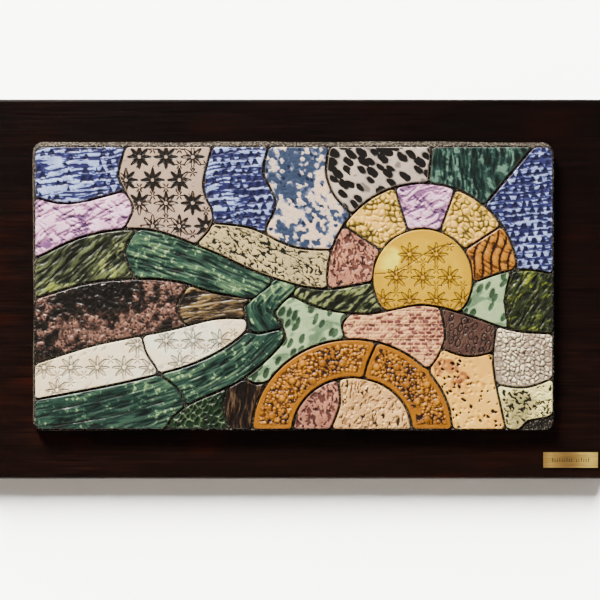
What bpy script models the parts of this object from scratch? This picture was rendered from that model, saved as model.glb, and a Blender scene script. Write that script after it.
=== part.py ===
"""A ceramic wall panel: stamped and glazed tiles, bedded in mortar on a stained wooden board.

It is modelled lying on its back, x to the right, y up the wall and z towards the viewer,
and the empty that carries it then turns it upright with its front towards -Y.
"""

import math

import bmesh
import bpy
from mathutils import Matrix, Vector
from mathutils.bvhtree import BVHTree
from mathutils.geometry import delaunay_2d_cdt, interpolate_bezier, intersect_point_line

# Board. The round of its corners is wider than the arris that runs round them.
BOARD_WIDTH = 0.630
BOARD_HEIGHT = 0.380
BOARD_THICKNESS = 0.022
BOARD_END_ROUND = 0.0035
BOARD_FRONT_ARRIS = 0.0025
BOARD_BACK_ARRIS = 0.0008

# Keyhole slots for two wall screws, routed in the board's back
KEYHOLE_FROM_END = 0.115
KEYHOLE_FROM_TOP = 0.052
KEYHOLE_ENTRY_RADIUS = 0.0055
KEYHOLE_HEAD_RADIUS = 0.0050
KEYHOLE_NECK_RADIUS = 0.0025
KEYHOLE_LIP = 0.0035
KEYHOLE_DEPTH = 0.010
KEYHOLE_RISE = 0.014
KEYHOLE_SIDES = 12

# Place of the mosaic on the board
SIDE_MARGIN = 0.057
TOP_MARGIN = 0.048
BOTTOM_MARGIN = 0.050
FIELD_CORNER = 0.009

# Mortar bed and the lip that it makes round the tiles
GAP = 0.0003
BED_THICKNESS = 0.0040
LIP_LEFT = 0.0038
LIP_RIGHT = 0.0018
LIP_TOP = 0.0060
LIP_BOTTOM = 0.0020
LIP_RAGGED = 0.0008
LIP_EDGE = 0.0012
LIP_BELOW_FACE = 0.0022
LIP_CREST = 0.26
LIP_FOOT = 0.9
LIP_TURN = 8
BED_STEP = 0.022

# Tiles
JOINT = 0.0024
TILE_THICKNESS = 0.0078
TILE_UNEVEN = 0.00025
UNEVEN_TURN = 2.4
TILE_ARRIS = 0.0014
TILE_CORNER = 0.0028
CORNER_SHARE = 0.4
SHARP_CORNER = math.radians(48)
LEAST_EDGE = 0.0022
CORNER_ROOM = 0.0056

# Name plate, glued on the board
PLATE_WIDTH = 0.0547
PLATE_HEIGHT = 0.0155
PLATE_THICKNESS = 0.0010
PLATE_ARRIS = 0.0002
PLATE_FROM_END = 0.0112
PLATE_FROM_BOTTOM = 0.0113
STROKE_WIDTH = 0.0008
STROKE_PITCH = 0.0024
STROKE_HEIGHT = 0.0042
STROKE_DEPTH = 0.0004
SHORT_STROKE = 0.7
STROKES = (9, 6)

# Stamps and cuts in the tiles' faces
ROSETTE_RADIUS = 0.0125
ROSETTE_HEART = 0.0030
ROSETTE_PETALS = 8
PETAL_WIDTH = 0.0034
STAMP_DEPTH = 0.0007
STAMP_MARGIN = 0.0015
STAMP_LEAD = 0.25
BUBBLE_RADIUS = 0.0040
BUBBLE_HEIGHT = 0.0012
BUBBLE_PITCH = 0.0200
GROOVE_WIDTH = 0.0014
GROOVE_DEPTH = 0.0008
COMB_PITCH = 0.0095
COMB_OVERCUT = 1.1
DASH_SPACE = 0.12
BRICK_LENGTH = 0.028
BRICK_COURSE = 0.0145

# The drawing is made on a sheet of these units, which is stretched over the field of tiles.
SHEET_WIDTH = 516
SHEET_HEIGHT = 282
LINE_STEP = 14
WELD = 2.5
OVERRUN = 4
CORNER_STEPS = 4

FIELD_WIDTH = BOARD_WIDTH - 2 * SIDE_MARGIN
FIELD_HEIGHT = BOARD_HEIGHT - TOP_MARGIN - BOTTOM_MARGIN
FIELD_LEFT = SIDE_MARGIN - BOARD_WIDTH / 2
FIELD_FOOT = BOTTOM_MARGIN - BOARD_HEIGHT / 2
FIELD_CENTRE = Vector((FIELD_LEFT + FIELD_WIDTH / 2, FIELD_FOOT + FIELD_HEIGHT / 2, 0))
BED_BACK = BOARD_THICKNESS + GAP
BED_FACE = BED_BACK + BED_THICKNESS
TILE_BACK = BED_FACE + GAP
TILE_FACE = TILE_BACK + TILE_THICKNESS
LIP_HEIGHT = TILE_FACE - LIP_BELOW_FACE

SUN = (386, 150)
SUN_RADIUS = 50
SUN_SPAN = (-44, 224)
RAYS_RADIUS = 95
RAYS_SPAN = (-6, 196)
RAY_ANGLES = (34, 70, 107, 146)
SKY_RAY_ANGLES = (50, 86)
ARCH_CENTRE = (316, -4)
ARCH_OUTER = (100, 94)
ARCH_INNER = (60, 56)
ARCH_SPAN = (-2, 182)

# Cut lines, each through a few points of the sheet. Their loose ends are trimmed off.
CUT_LINES = {
    "far_ridge": [(-4, 168), (52, 193), (112, 199), (172, 179), (228, 154), (285, 140), (342, 148)],
    "right_ridge": [(430, 144), (478, 159), (523, 154)],
    "near_ridge": [(250, 136), (284, 121), (330, 115), (386, 124), (430, 114), (474, 99), (523, 95)],
    "sky_low_left": [(-4, 232), (36, 225), (100, 240)],
    "sky_left": [(84, 192), (98, 220), (84, 250), (92, 286)],
    "sky_middle": [(156, 178), (178, 208), (168, 242), (178, 286)],
    "haze": [(172, 206), (216, 200), (256, 182), (298, 178)],
    "cloud": [(226, 192), (240, 226), (228, 254), (234, 286)],
    "sky_right": [(324, 206), (300, 230), (290, 256), (294, 286)],
    "left_bank": [(240, 160), (234, 144), (208, 122), (212, 100), (168, 70), (98, 49), (-4, 29)],
    "right_bank": [(266, 152), (258, 136), (238, 116), (250, 92), (208, 51), (148, 22), (126, -6)],
    "upper_weir": [(194, 102), (224, 96), (258, 104)],
    "lower_weir": [(114, 62), (142, 41), (154, 16)],
    "meadow": [(-4, 129), (60, 147), (130, 149), (180, 136), (220, 130)],
    "meadow_cut": [(104, 202), (90, 176), (104, 144)],
    "path": [(-4, 64), (60, 84), (130, 98), (180, 110), (216, 110)],
    "path_cut": [(106, 98), (112, 75), (130, 50)],
    "dark_cut": [(156, 148), (142, 122), (152, 100)],
    "arch_cut": [(326, 46), (332, 68), (344, 94)],
    "inner_cut": [(300, 60), (304, 28), (292, -6)],
    "bank_cut": [(196, 50), (188, 24), (196, -6)],
    "bay_cut": [(202, 54), (220, 46), (246, 50)],
    "field_cut": [(320, 122), (306, 104), (312, 80)],
    "field_right": [(402, 128), (408, 90), (392, 60), (374, 48)],
    "field_far_right": [(462, 112), (456, 66), (470, -6)],
    "field_across": [(396, 84), (430, 73), (466, 79)],
    "field_low": [(452, 46), (488, 42), (523, 54)],
    "right_hill_cut": [(474, 92), (468, 128), (476, 166)],
    "corner_patch": [(476, -6), (490, 8), (508, 12), (526, 20)],
}

# Lines drawn in the wet tiles with a point, which follow the water and the far hill
CURRENTS = {
    "tile_river_upper": [[(244, 146), (224, 122), (233, 106)]],
    "tile_river_middle": [[(216, 88), (188, 65), (152, 48)], [(236, 86), (204, 57), (164, 39)]],
    "tile_river_lower": [[(120, 44), (70, 30), (10, 18)], [(128, 28), (80, 14), (20, 4)]],
    "tile_teal_hill": [[(112, 184), (160, 170), (226, 144)], [(108, 166), (160, 154), (206, 140)]],
}

# Tiles by a point of the sheet that lies in each, with the colour of its glaze
COBALT = (0.16, 0.22, 0.52)
PALE = (0.85, 0.80, 0.76)
YELLOW = (0.90, 0.62, 0.04)
LILAC = (0.60, 0.42, 0.66)
TEAL = (0.04, 0.26, 0.22)
OLIVE = (0.22, 0.27, 0.12)
DEEP_GREEN = (0.05, 0.17, 0.08)
MOTTLED_DARK = (0.10, 0.06, 0.05)
PINK = (0.70, 0.42, 0.38)
BROWN = (0.22, 0.14, 0.11)
CREAM = (0.80, 0.68, 0.48)
AMBER = (0.55, 0.28, 0.04)
GREEN_WHITE = (0.58, 0.68, 0.52)
OCHRE = (0.58, 0.34, 0.10)
TILES = {
    "tile_sky_corner": ((40, 260), COBALT),
    "tile_sky_lilac": ((40, 205), LILAC),
    "tile_sky_daisies": ((130, 235), PALE),
    "tile_sky_strokes": ((200, 240), COBALT),
    "tile_sky_mottled": ((262, 230), PALE),
    "tile_haze": ((220, 175), GREEN_WHITE),
    "tile_sky_spotted": ((345, 262), PALE),
    "tile_sky_streaked": ((430, 262), TEAL),
    "tile_sky_right": ((490, 210), COBALT),
    "tile_sun": ((386, 150), YELLOW),
    "tile_ray_1": ((460, 168), OCHRE),
    "tile_ray_2": ((444, 194), CREAM),
    "tile_ray_3": ((388, 222), LILAC),
    "tile_ray_4": ((341, 205), CREAM),
    "tile_ray_5": ((312, 160), PINK),
    "tile_olive_hill": ((40, 160), OLIVE),
    "tile_teal_hill": ((150, 165), TEAL),
    "tile_near_hill": ((300, 130), OLIVE),
    "tile_hill_under_sun": ((450, 132), GREEN_WHITE),
    "tile_right_hill": ((495, 130), DEEP_GREEN),
    "tile_dark_meadow": ((60, 110), MOTTLED_DARK),
    "tile_brown_meadow": ((178, 122), BROWN),
    "tile_path_left": ((40, 58), PALE),
    "tile_path_right": ((150, 88), PALE),
    "tile_river_upper": ((228, 110), TEAL),
    "tile_river_middle": ((190, 66), TEAL),
    "tile_river_lower": ((60, 20), TEAL),
    "tile_bank_green": ((170, 16), DEEP_GREEN),
    "tile_bank_foot": ((205, 20), BROWN),
    "tile_bank_field": ((270, 98), GREEN_WHITE),
    "tile_arch_left": ((252, 40), AMBER),
    "tile_arch_right": ((390, 30), AMBER),
    "tile_inner_left": ((275, 20), PINK),
    "tile_inner_right": ((330, 20), CREAM),
    "tile_brick_field": ((370, 95), PINK),
    "tile_ringed_field": ((430, 96), BROWN),
    "tile_popcorn_field": ((490, 72), PALE),
    "tile_pitted_field": ((435, 30), CREAM),
    "tile_speckled_field": ((485, 30), GREEN_WHITE),
}
MORTAR_PATCH = (508, 4)

# Which tiles are stamped, blistered, cut as bricks or combed, the last with the comb's angle
STAMPED = ("tile_sun", "tile_sky_daisies", "tile_path_left", "tile_path_right")
BUBBLED = ("tile_arch_left", "tile_arch_right")
BRICKED = ("tile_brick_field",)
COMBED = {"tile_olive_hill": 42, "tile_brown_meadow": 8, "tile_right_hill": 60}

SMOOTH_ANGLE = math.radians(35)
MORTAR_GREY = (0.34, 0.32, 0.29)
WOOD_DARK = (0.035, 0.014, 0.010)
BRASS_GOLD = (0.72, 0.50, 0.20)


def clear_scene():
    for obj in list(bpy.data.objects):
        bpy.data.objects.remove(obj, do_unlink=True)


def new_collection(name):
    collection = bpy.data.collections.new(name)
    bpy.context.scene.collection.children.link(collection)
    return collection


def glaze(name, color, roughness, metallic=0.0):
    """A plain material of one colour."""
    material = bpy.data.materials.new(name)
    material.use_nodes = True
    shader = material.node_tree.nodes["Principled BSDF"]
    shader.inputs["Base Color"].default_value = (*color, 1.0)
    shader.inputs["Roughness"].default_value = roughness
    shader.inputs["Metallic"].default_value = metallic
    return material


def new_object(name, bm, collection, carrier, material=None):
    """An object from a bmesh, carried by the empty, with its normals pointing out."""
    bmesh.ops.recalc_face_normals(bm, faces=bm.faces)
    mesh = bpy.data.meshes.new(name)
    bm.to_mesh(mesh)
    bm.free()
    mesh.shade_smooth()
    mesh.set_sharp_from_angle(angle=SMOOTH_ANGLE)
    obj = bpy.data.objects.new(name, mesh)
    collection.objects.link(obj)
    obj.parent = carrier
    if material:
        mesh.materials.append(material)
    return obj


def new_cutter(name, bm, cutters, carrier):
    cutter = new_object(name, bm, cutters, carrier)
    cutter.hide_render = True
    cutter.display_type = "WIRE"
    return cutter


def combine(obj, other, operation):
    """Cuts another object out of this one, or joins it on."""
    modifier = obj.modifiers.new(other.name, "BOOLEAN")
    modifier.operation = operation
    modifier.object = other


def add_box(bm, low, high):
    """A box between two corners."""
    low, high = Vector(low), Vector(high)
    place = Matrix.Translation((low + high) / 2) @ Matrix.Diagonal((*(high - low), 1))
    return bmesh.ops.create_cube(bm, size=1, matrix=place)["verts"]


def rim(bm, height):
    """The edges that lie wholly at this height."""
    return [e for e in bm.edges if all(abs(v.co.z - height) < GAP / 100 for v in e.verts)]


def round_edges(bm, edges, width, segments):
    bmesh.ops.bevel(bm, geom=edges, offset=width, segments=segments, profile=0.5, affect="EDGES", material=-1)


def make_board(parts, cutters, carrier):
    bm = bmesh.new()
    half = Vector((BOARD_WIDTH / 2, BOARD_HEIGHT / 2, 0))
    add_box(bm, -half, half + Vector((0, 0, BOARD_THICKNESS)))
    upright = [e for e in bm.edges if abs(e.verts[0].co.z - e.verts[1].co.z) > BOARD_THICKNESS / 2]
    round_edges(bm, upright, BOARD_END_ROUND, 2)
    round_edges(bm, rim(bm, BOARD_THICKNESS), BOARD_FRONT_ARRIS, 3)
    round_edges(bm, rim(bm, 0), BOARD_BACK_ARRIS, 1)
    board = new_object("board", bm, parts, carrier, glaze("stained_wood", WOOD_DARK, 0.35))
    for side, name in ((-1, "left"), (1, "right")):
        entry = Vector((side * (BOARD_WIDTH / 2 - KEYHOLE_FROM_END), BOARD_HEIGHT / 2 - KEYHOLE_FROM_TOP, 0))
        for piece, radius, rise, low, high in (
            ("entry", KEYHOLE_ENTRY_RADIUS, 0, -GAP, KEYHOLE_DEPTH),
            ("neck", KEYHOLE_NECK_RADIUS, KEYHOLE_RISE, -GAP, KEYHOLE_DEPTH),
            ("head", KEYHOLE_HEAD_RADIUS, KEYHOLE_RISE, KEYHOLE_LIP, KEYHOLE_DEPTH),
        ):
            slot = new_slot(radius, rise, low, high, entry)
            combine(board, new_cutter(f"keyhole_{name}_{piece}", slot, cutters, carrier), "DIFFERENCE")


def new_slot(radius, rise, low, high, centre):
    """An upright round-ended slot from one depth to another. Without a rise it is a round hole."""
    bm = bmesh.new()
    turn = Matrix.Rotation(math.pi / KEYHOLE_SIDES, 4, "Z")
    bmesh.ops.create_cone(
        bm,
        cap_ends=True,
        segments=KEYHOLE_SIDES,
        radius1=radius,
        radius2=radius,
        depth=high - low,
        matrix=Matrix.Translation((0, 0, (low + high) / 2)) @ turn,
    )
    upper = [v for v in bm.verts if v.co.y > 0]
    bmesh.ops.translate(bm, verts=upper, vec=(0, rise, 0))
    bmesh.ops.translate(bm, verts=bm.verts, vec=centre)
    return bm


def on_field(point):
    """A point of the drawing's sheet, on the field of tiles."""
    across = FIELD_LEFT + point[0] / SHEET_WIDTH * FIELD_WIDTH
    up = FIELD_FOOT + point[1] / SHEET_HEIGHT * FIELD_HEIGHT
    return Vector((across, up, 0))


def smooth_line(controls):
    """Points along a smooth curve through the controls."""
    knots = [Vector(point) for point in controls]
    knots = [2 * knots[0] - knots[1], *knots, 2 * knots[-1] - knots[-2]]
    line = []
    for before, start, end, after in zip(knots, knots[1:], knots[2:], knots[3:]):
        count = max(2, round((end - start).length / LINE_STEP)) + 1
        leave = start + (end - before) / 6
        arrive = end - (after - start) / 6
        line += interpolate_bezier(start, leave, arrive, end, count)[:-1]
    return line + [knots[-2]]


def arc(centre, radii, start, end):
    """Points along an arc of an ellipse, its angles in degrees."""
    count = max(2, round(math.radians(abs(end - start)) * max(radii) / LINE_STEP))
    line = []
    for step in range(count + 1):
        angle = math.radians(start + (end - start) * step / count)
        line.append(Vector((centre[0] + radii[0] * math.cos(angle), centre[1] + radii[1] * math.sin(angle))))
    return line


def ray(angle, start, end):
    """A straight cut out from the sun's centre, from one radius to another."""
    along = Vector((math.cos(math.radians(angle)), math.sin(math.radians(angle))))
    return [Vector(SUN) + along * start, Vector(SUN) + along * end]


def drawn_lines():
    """Every cut line of the drawing, in the sheet's units."""
    lines = [smooth_line(controls) for controls in CUT_LINES.values()]
    lines.append(arc(SUN, (SUN_RADIUS, SUN_RADIUS), *SUN_SPAN))
    lines.append(arc(SUN, (RAYS_RADIUS, RAYS_RADIUS), *RAYS_SPAN))
    lines += [ray(angle, SUN_RADIUS - OVERRUN, RAYS_RADIUS + OVERRUN) for angle in RAY_ANGLES]
    lines += [ray(angle, RAYS_RADIUS - OVERRUN, SHEET_HEIGHT) for angle in SKY_RAY_ANGLES]
    lines += [arc(ARCH_CENTRE, radii, *ARCH_SPAN) for radii in (ARCH_OUTER, ARCH_INNER)]
    return lines


def field_outline():
    """The field's edge as a closed loop, anticlockwise, with rounded corners."""
    half = Vector((FIELD_WIDTH / 2 - FIELD_CORNER, FIELD_HEIGHT / 2 - FIELD_CORNER, 0))
    loop = []
    for quarter, (across, up) in enumerate(((1, 1), (-1, 1), (-1, -1), (1, -1))):
        centre = FIELD_CENTRE + Vector((half.x * across, half.y * up, 0))
        for step in range(CORNER_STEPS + 1):
            angle = math.pi / 2 * (quarter + step / CORNER_STEPS)
            loop.append(centre + Vector((math.cos(angle), math.sin(angle), 0)) * FIELD_CORNER)
    return loop


def add_chain(points, edges, chain, closed):
    first = len(points)
    points += [point.to_2d() for point in chain]
    edges += [(first + i, first + i + 1) for i in range(len(chain) - 1)]
    if closed:
        edges.append((len(points) - 1, first))


def cut_field():
    """A flat bmesh with one face for each piece that the cut lines part the field into."""
    points, edges = [], []
    add_chain(points, edges, field_outline(), closed=True)
    for line in drawn_lines():
        add_chain(points, edges, [on_field(point) for point in line], closed=False)
    points, edges, *_ = delaunay_2d_cdt(points, edges, [], 3, GAP / 100)
    net = bmesh.new()
    corners = [net.verts.new(point.to_3d()) for point in points]
    for start, end in edges:
        net.edges.new((corners[start], corners[end]))
    trim_loose_ends(net)
    bmesh.ops.remove_doubles(net, verts=net.verts, dist=WELD * FIELD_WIDTH / SHEET_WIDTH)
    trim_loose_ends(net)
    net.verts.index_update()
    points = [v.co.to_2d() for v in net.verts]
    edges = [tuple(v.index for v in edge.verts) for edge in net.edges]
    net.free()
    points, edges, faces, *_ = delaunay_2d_cdt(points, edges, [], 3, GAP / 100)
    field = bmesh.new()
    corners = [field.verts.new(point.to_3d()) for point in points]
    for face in faces:
        field.faces.new([corners[i] for i in face])
    field.normal_update()
    return field


def trim_loose_ends(net):
    while loose := [v for v in net.verts if len(v.link_edges) < 2]:
        bmesh.ops.delete(net, geom=loose, context="VERTS")


def piece_at(field, tree, point):
    """The outline of the piece that holds this point of the sheet."""
    above = on_field(point) + Vector((0, 0, 1))
    index = tree.ray_cast(above, Vector((0, 0, -1)))[2]
    return [v.co.copy() for v in field.faces[index].verts]


def bed_outline():
    """The field's edge with its straight sides parted into short steps."""
    corners = field_outline()
    loop = []
    for start, end in zip(corners, corners[1:] + corners[:1]):
        count = max(1, round((end - start).length / BED_STEP))
        loop += [start.lerp(end, i / count) for i in range(count)]
    return loop


def ragged(angle):
    """The uneven spread of the mortar round the field, from -1 to 1."""
    return 0.6 * math.sin(7 * angle + 1) + 0.4 * math.sin(19 * angle)


def mortar_loop(spread, height):
    """A loop just outside the tiles, moved out by a share of the lip's width on each side."""
    inwards = JOINT / 2 - GAP
    loop = []
    for point in bed_outline():
        arm = point - FIELD_CENTRE
        width = LIP_RIGHT if arm.x > 0 else LIP_LEFT
        rise = LIP_TOP if arm.y > 0 else LIP_BOTTOM
        uneven = LIP_RAGGED * ragged(math.atan2(arm.y, arm.x))
        to_side = math.copysign(abs(2 * arm.x / FIELD_WIDTH) ** LIP_TURN, arm.x)
        to_top = math.copysign(abs(2 * arm.y / FIELD_HEIGHT) ** LIP_TURN, arm.y)
        across = to_side * (spread * (width + uneven) - inwards)
        up = to_top * (spread * (rise + uneven) - inwards)
        loop.append(Vector((point.x + across, point.y + up, height)))
    return loop


def make_mortar(field, tree, parts, cutters, carrier):
    """The bed under the tiles with its lip round them, and the patch that fills a corner with no tile."""
    bm = bmesh.new()
    rings = []
    edge = BED_BACK + LIP_EDGE
    steps = ((1, BED_BACK), (LIP_FOOT, edge), (LIP_CREST, LIP_HEIGHT), (0, LIP_HEIGHT), (0, BED_FACE))
    for spread, height in steps:
        rings.append([bm.verts.new(point) for point in mortar_loop(spread, height)])
    for lower, upper in zip(rings, rings[1:]):
        for i in range(len(lower)):
            bm.faces.new((lower[i - 1], lower[i], upper[i], upper[i - 1]))
    bm.faces.new(rings[0])
    bm.faces.new(rings[-1])
    mortar = new_object("mortar_bed", bm, parts, carrier, glaze("mortar", MORTAR_GREY, 0.95))
    patch = bmesh.new()
    raise_face(patch, piece_at(field, tree, MORTAR_PATCH), BED_FACE - BED_THICKNESS / 4, LIP_HEIGHT - GAP)
    combine(mortar, new_cutter("mortar_patch", patch, cutters, carrier), "UNION")


def raise_face(bm, outline, low, high):
    """A solid with this outline between two heights. It returns the corners of its upper face."""
    face = bm.faces.new([bm.verts.new((point.x, point.y, low)) for point in outline])
    top = bmesh.ops.extrude_face_region(bm, geom=[face])["geom"]
    corners = [part for part in top if isinstance(part, bmesh.types.BMVert)]
    bmesh.ops.translate(bm, verts=corners, vec=(0, 0, high - low))
    return corners


def inset(outline, width):
    """The outline moved in by this width all round."""
    bm = bmesh.new()
    face = bm.faces.new([bm.verts.new(point) for point in outline])
    face.normal_update()
    bmesh.ops.inset_individual(bm, faces=[face], thickness=width, use_even_offset=True)
    points = [v.co.copy() for v in face.verts]
    bm.free()
    return points


def turns(outline):
    """How far the outline turns at each of its points."""
    neighbours = zip(outline[-1:] + outline[:-1], outline, outline[1:] + outline[:1])
    return [(corner - before).angle(after - corner) for before, corner, after in neighbours]


def thin_out(outline):
    """The outline without the points that crowd a sharp corner, and with two crowded corners made one."""
    sharp = [point for point, turn in zip(outline, turns(outline)) if turn > SHARP_CORNER]
    points = []
    for point in outline:
        room = min([(point - corner).length for corner in sharp if corner is not point], default=FIELD_WIDTH)
        if points and (point - points[-1]).length < LEAST_EDGE:
            points[-1] = (point + points[-1]) / 2
        elif point in sharp or room > CORNER_ROOM:
            points.append(point)
    if (points[0] - points[-1]).length < LEAST_EDGE:
        points.pop()
    return points


def round_corners(outline):
    """The outline with its sharp corners cut off, as far as the edges beside them allow."""
    loop = []
    around = zip(outline[-1:] + outline[:-1], outline, outline[1:] + outline[:1], turns(outline))
    for before, corner, after, turn in around:
        if turn < SHARP_CORNER:
            loop.append(corner)
            continue
        for end in (before, after):
            arm = end - corner
            loop.append(corner + arm.normalized() * min(TILE_CORNER, arm.length * CORNER_SHARE))
    return loop


def tile_height(order):
    """The height of a tile's face, which differs a little from tile to tile."""
    return TILE_FACE + TILE_UNEVEN * math.sin(UNEVEN_TURN * order)


def make_tile(name, outline, height, color, parts, carrier):
    bm = bmesh.new()
    raise_face(bm, outline, TILE_BACK, height)
    round_edges(bm, rim(bm, height), TILE_ARRIS, 1)
    return new_object(name, bm, parts, carrier, glaze(name.replace("tile", "glaze"), color, 0.3))


def clearance(outline, point):
    """How far inside the outline a point is, or less than nothing outside it."""
    distances = []
    crossings = 0
    for start, end in zip(outline, outline[1:] + outline[:1]):
        foot, share = intersect_point_line(point, start, end)
        nearest = start.lerp(end, min(1, max(0, share)))
        distances.append((point - nearest).length)
        if (start.y > point.y) != (end.y > point.y):
            level = (point.y - start.y) / (end.y - start.y)
            crossings += start.x + level * (end.x - start.x) > point.x
    return min(distances) if crossings % 2 else -min(distances)


def spots(outline, pitch, reach):
    """Staggered places of a stamp, at least its reach inside the outline, or the one deepest inside it."""
    middle = sum(outline, Vector()) / len(outline)
    row_pitch = pitch * math.sin(math.radians(60))
    rows = math.ceil(FIELD_HEIGHT / row_pitch)
    columns = math.ceil(FIELD_WIDTH / pitch)
    places = []
    for row in range(-rows, rows + 1):
        for column in range(-columns, columns + 1):
            place = middle + Vector((pitch * (column + (row % 2) / 2), row_pitch * row, 0))
            places.append((clearance(outline, place), place))
    fitting = [place for room, place in places if room > reach]
    return fitting or [max(places, key=lambda found: found[0])[1]]


def add_octahedron(bm, matrix):
    bmesh.ops.create_uvsphere(bm, u_segments=4, v_segments=2, radius=1, matrix=matrix)


def rosettes(outline, height):
    """Eight-petalled stamps, each petal pressed in deepest at its middle."""
    bm = bmesh.new()
    half_length = (ROSETTE_RADIUS - ROSETTE_HEART) / 2
    size = Matrix.Diagonal((half_length, PETAL_WIDTH / 2, STAMP_DEPTH * (1 + STAMP_LEAD), 1))
    out = Matrix.Translation((ROSETTE_HEART + half_length, 0, 0))
    for place in spots(outline, 2 * ROSETTE_RADIUS + STAMP_MARGIN, ROSETTE_RADIUS + STAMP_MARGIN):
        centre = Matrix.Translation((place.x, place.y, height + STAMP_DEPTH * STAMP_LEAD))
        for petal in range(ROSETTE_PETALS):
            turn = Matrix.Rotation(math.tau * petal / ROSETTE_PETALS, 4, "Z")
            add_octahedron(bm, centre @ turn @ out @ size)
    return bm


def bubbles(outline, height):
    """Low round blisters of thick glaze."""
    bm = bmesh.new()
    size = Matrix.Diagonal((BUBBLE_RADIUS, BUBBLE_RADIUS, BUBBLE_HEIGHT * (1 + STAMP_LEAD), 1))
    for place in spots(outline, BUBBLE_PITCH, BUBBLE_RADIUS + STAMP_MARGIN):
        centre = Matrix.Translation((place.x, place.y, height - BUBBLE_HEIGHT * STAMP_LEAD))
        bmesh.ops.create_uvsphere(bm, u_segments=6, v_segments=4, radius=1, matrix=centre @ size)
    return bm


def add_groove(bm, start, end, height):
    """A straight cut of V section between two points of a tile's face."""
    along = end - start
    turn = Matrix.Rotation(math.atan2(along.y, along.x), 4, "Z")
    centre = (start + end) / 2
    place = Matrix.Translation((centre.x, centre.y, height + GROOVE_DEPTH * STAMP_LEAD)) @ turn
    deep = GROOVE_DEPTH * (1 + STAMP_LEAD) * math.sqrt(2)
    section = Matrix.Diagonal((along.length, GROOVE_WIDTH / math.sqrt(2), deep, 1))
    bmesh.ops.create_cube(bm, size=1, matrix=place @ section @ Matrix.Rotation(math.pi / 4, 4, "X"))


def comb(outline, height, angle):
    """Parallel cuts across the whole tile."""
    bm = bmesh.new()
    middle = sum(outline, Vector()) / len(outline)
    along = Vector((math.cos(angle), math.sin(angle), 0))
    across = Vector((-along.y, along.x, 0))
    reach = max((point - middle).length for point in outline)
    count = math.floor(reach / COMB_PITCH)
    for step in range(-count, count + 1):
        centre = middle + across * COMB_PITCH * (step + 0.5)
        half = along * reach * COMB_OVERCUT
        add_groove(bm, centre - half, centre + half, height)
    return bm


def bricks(outline, height):
    """Joints of a brick pattern: long courses, and short uprights between them that stay clear of them."""
    bm = bmesh.new()
    middle = sum(outline, Vector()) / len(outline)
    reach = max((point - middle).length for point in outline)
    rows = math.floor(reach / BRICK_COURSE)
    columns = math.floor(reach / BRICK_LENGTH)
    short = Vector((0, BRICK_COURSE / 2 - GROOVE_WIDTH, 0))
    for row in range(-rows, rows + 1):
        course = middle + Vector((0, BRICK_COURSE * (row + 0.5), 0))
        add_groove(bm, course - Vector((reach, 0, 0)), course + Vector((reach, 0, 0)), height)
        for column in range(-columns, columns + 1):
            shift = BRICK_LENGTH * (column + (row % 2) / 2)
            upright = middle + Vector((shift, BRICK_COURSE * row, 0))
            add_groove(bm, upright - short, upright + short, height)
    return bm


def dashes(lines, height):
    """Short straight cuts, end to end along smooth lines of the drawing."""
    bm = bmesh.new()
    for controls in lines:
        line = [on_field(point) for point in smooth_line(controls)]
        for start, end in zip(line, line[1:]):
            add_groove(bm, start.lerp(end, DASH_SPACE), end.lerp(start, DASH_SPACE), height)
    return bm


def relief(name, outline, height):
    """The stamps, cuts or blisters of a tile's face, and whether they are cut in or stand out."""
    if name in STAMPED:
        return rosettes(outline, height), "DIFFERENCE"
    if name in BUBBLED:
        return bubbles(outline, height), "UNION"
    if name in BRICKED:
        return bricks(outline, height), "DIFFERENCE"
    if name in COMBED:
        return comb(outline, height, math.radians(COMBED[name])), "DIFFERENCE"
    if name in CURRENTS:
        return dashes(CURRENTS[name], height), "DIFFERENCE"
    return None, None


def make_tiles(field, tree, parts, cutters, carrier):
    for order, (name, (seed, color)) in enumerate(TILES.items()):
        outline = thin_out(inset(thin_out(piece_at(field, tree, seed)), JOINT / 2))
        outline = round_corners(outline)
        height = tile_height(order)
        tile = make_tile(name, outline, height, color, parts, carrier)
        shapes, operation = relief(name, outline, height)
        if shapes:
            combine(tile, new_cutter(f"{name}_relief", shapes, cutters, carrier), operation)


def make_plate(parts, cutters, carrier):
    """The brass plate, with two rows of plain upright strokes in place of an inscription."""
    right = BOARD_WIDTH / 2 - PLATE_FROM_END
    foot = PLATE_FROM_BOTTOM - BOARD_HEIGHT / 2
    back = BOARD_THICKNESS + GAP
    face = back + PLATE_THICKNESS
    bm = bmesh.new()
    add_box(bm, (right - PLATE_WIDTH, foot, back), (right, foot + PLATE_HEIGHT, face))
    round_edges(bm, rim(bm, face), PLATE_ARRIS, 1)
    plate = new_object("name_plate", bm, parts, carrier, glaze("brass", BRASS_GOLD, 0.3, metallic=1.0))
    marks = bmesh.new()
    middle = Vector((right - PLATE_WIDTH / 2, foot + PLATE_HEIGHT / 2, face))
    places = [i for i in range(sum(STROKES) + 1) if i != STROKES[0]]
    for place in places:
        x = middle.x + STROKE_PITCH * (place - sum(STROKES) / 2)
        tall = STROKE_HEIGHT if place % 3 == 0 else STROKE_HEIGHT * SHORT_STROKE
        low = (x - STROKE_WIDTH / 2, middle.y - STROKE_HEIGHT / 2, face - STROKE_DEPTH)
        add_box(marks, low, (x + STROKE_WIDTH / 2, low[1] + tall, face + STROKE_DEPTH))
    combine(plate, new_cutter("name_plate_strokes", marks, cutters, carrier), "DIFFERENCE")


def main():
    clear_scene()
    parts = new_collection("ceramic_wall_panel")
    cutters = new_collection("cutters")
    carrier = bpy.data.objects.new("wall_side", None)
    parts.objects.link(carrier)
    carrier.rotation_euler = (math.pi / 2, 0, 0)
    field = cut_field()
    tree = BVHTree.FromBMesh(field)
    field.faces.ensure_lookup_table()
    make_board(parts, cutters, carrier)
    make_mortar(field, tree, parts, cutters, carrier)
    make_tiles(field, tree, parts, cutters, carrier)
    make_plate(parts, cutters, carrier)
    field.free()


main()
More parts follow.
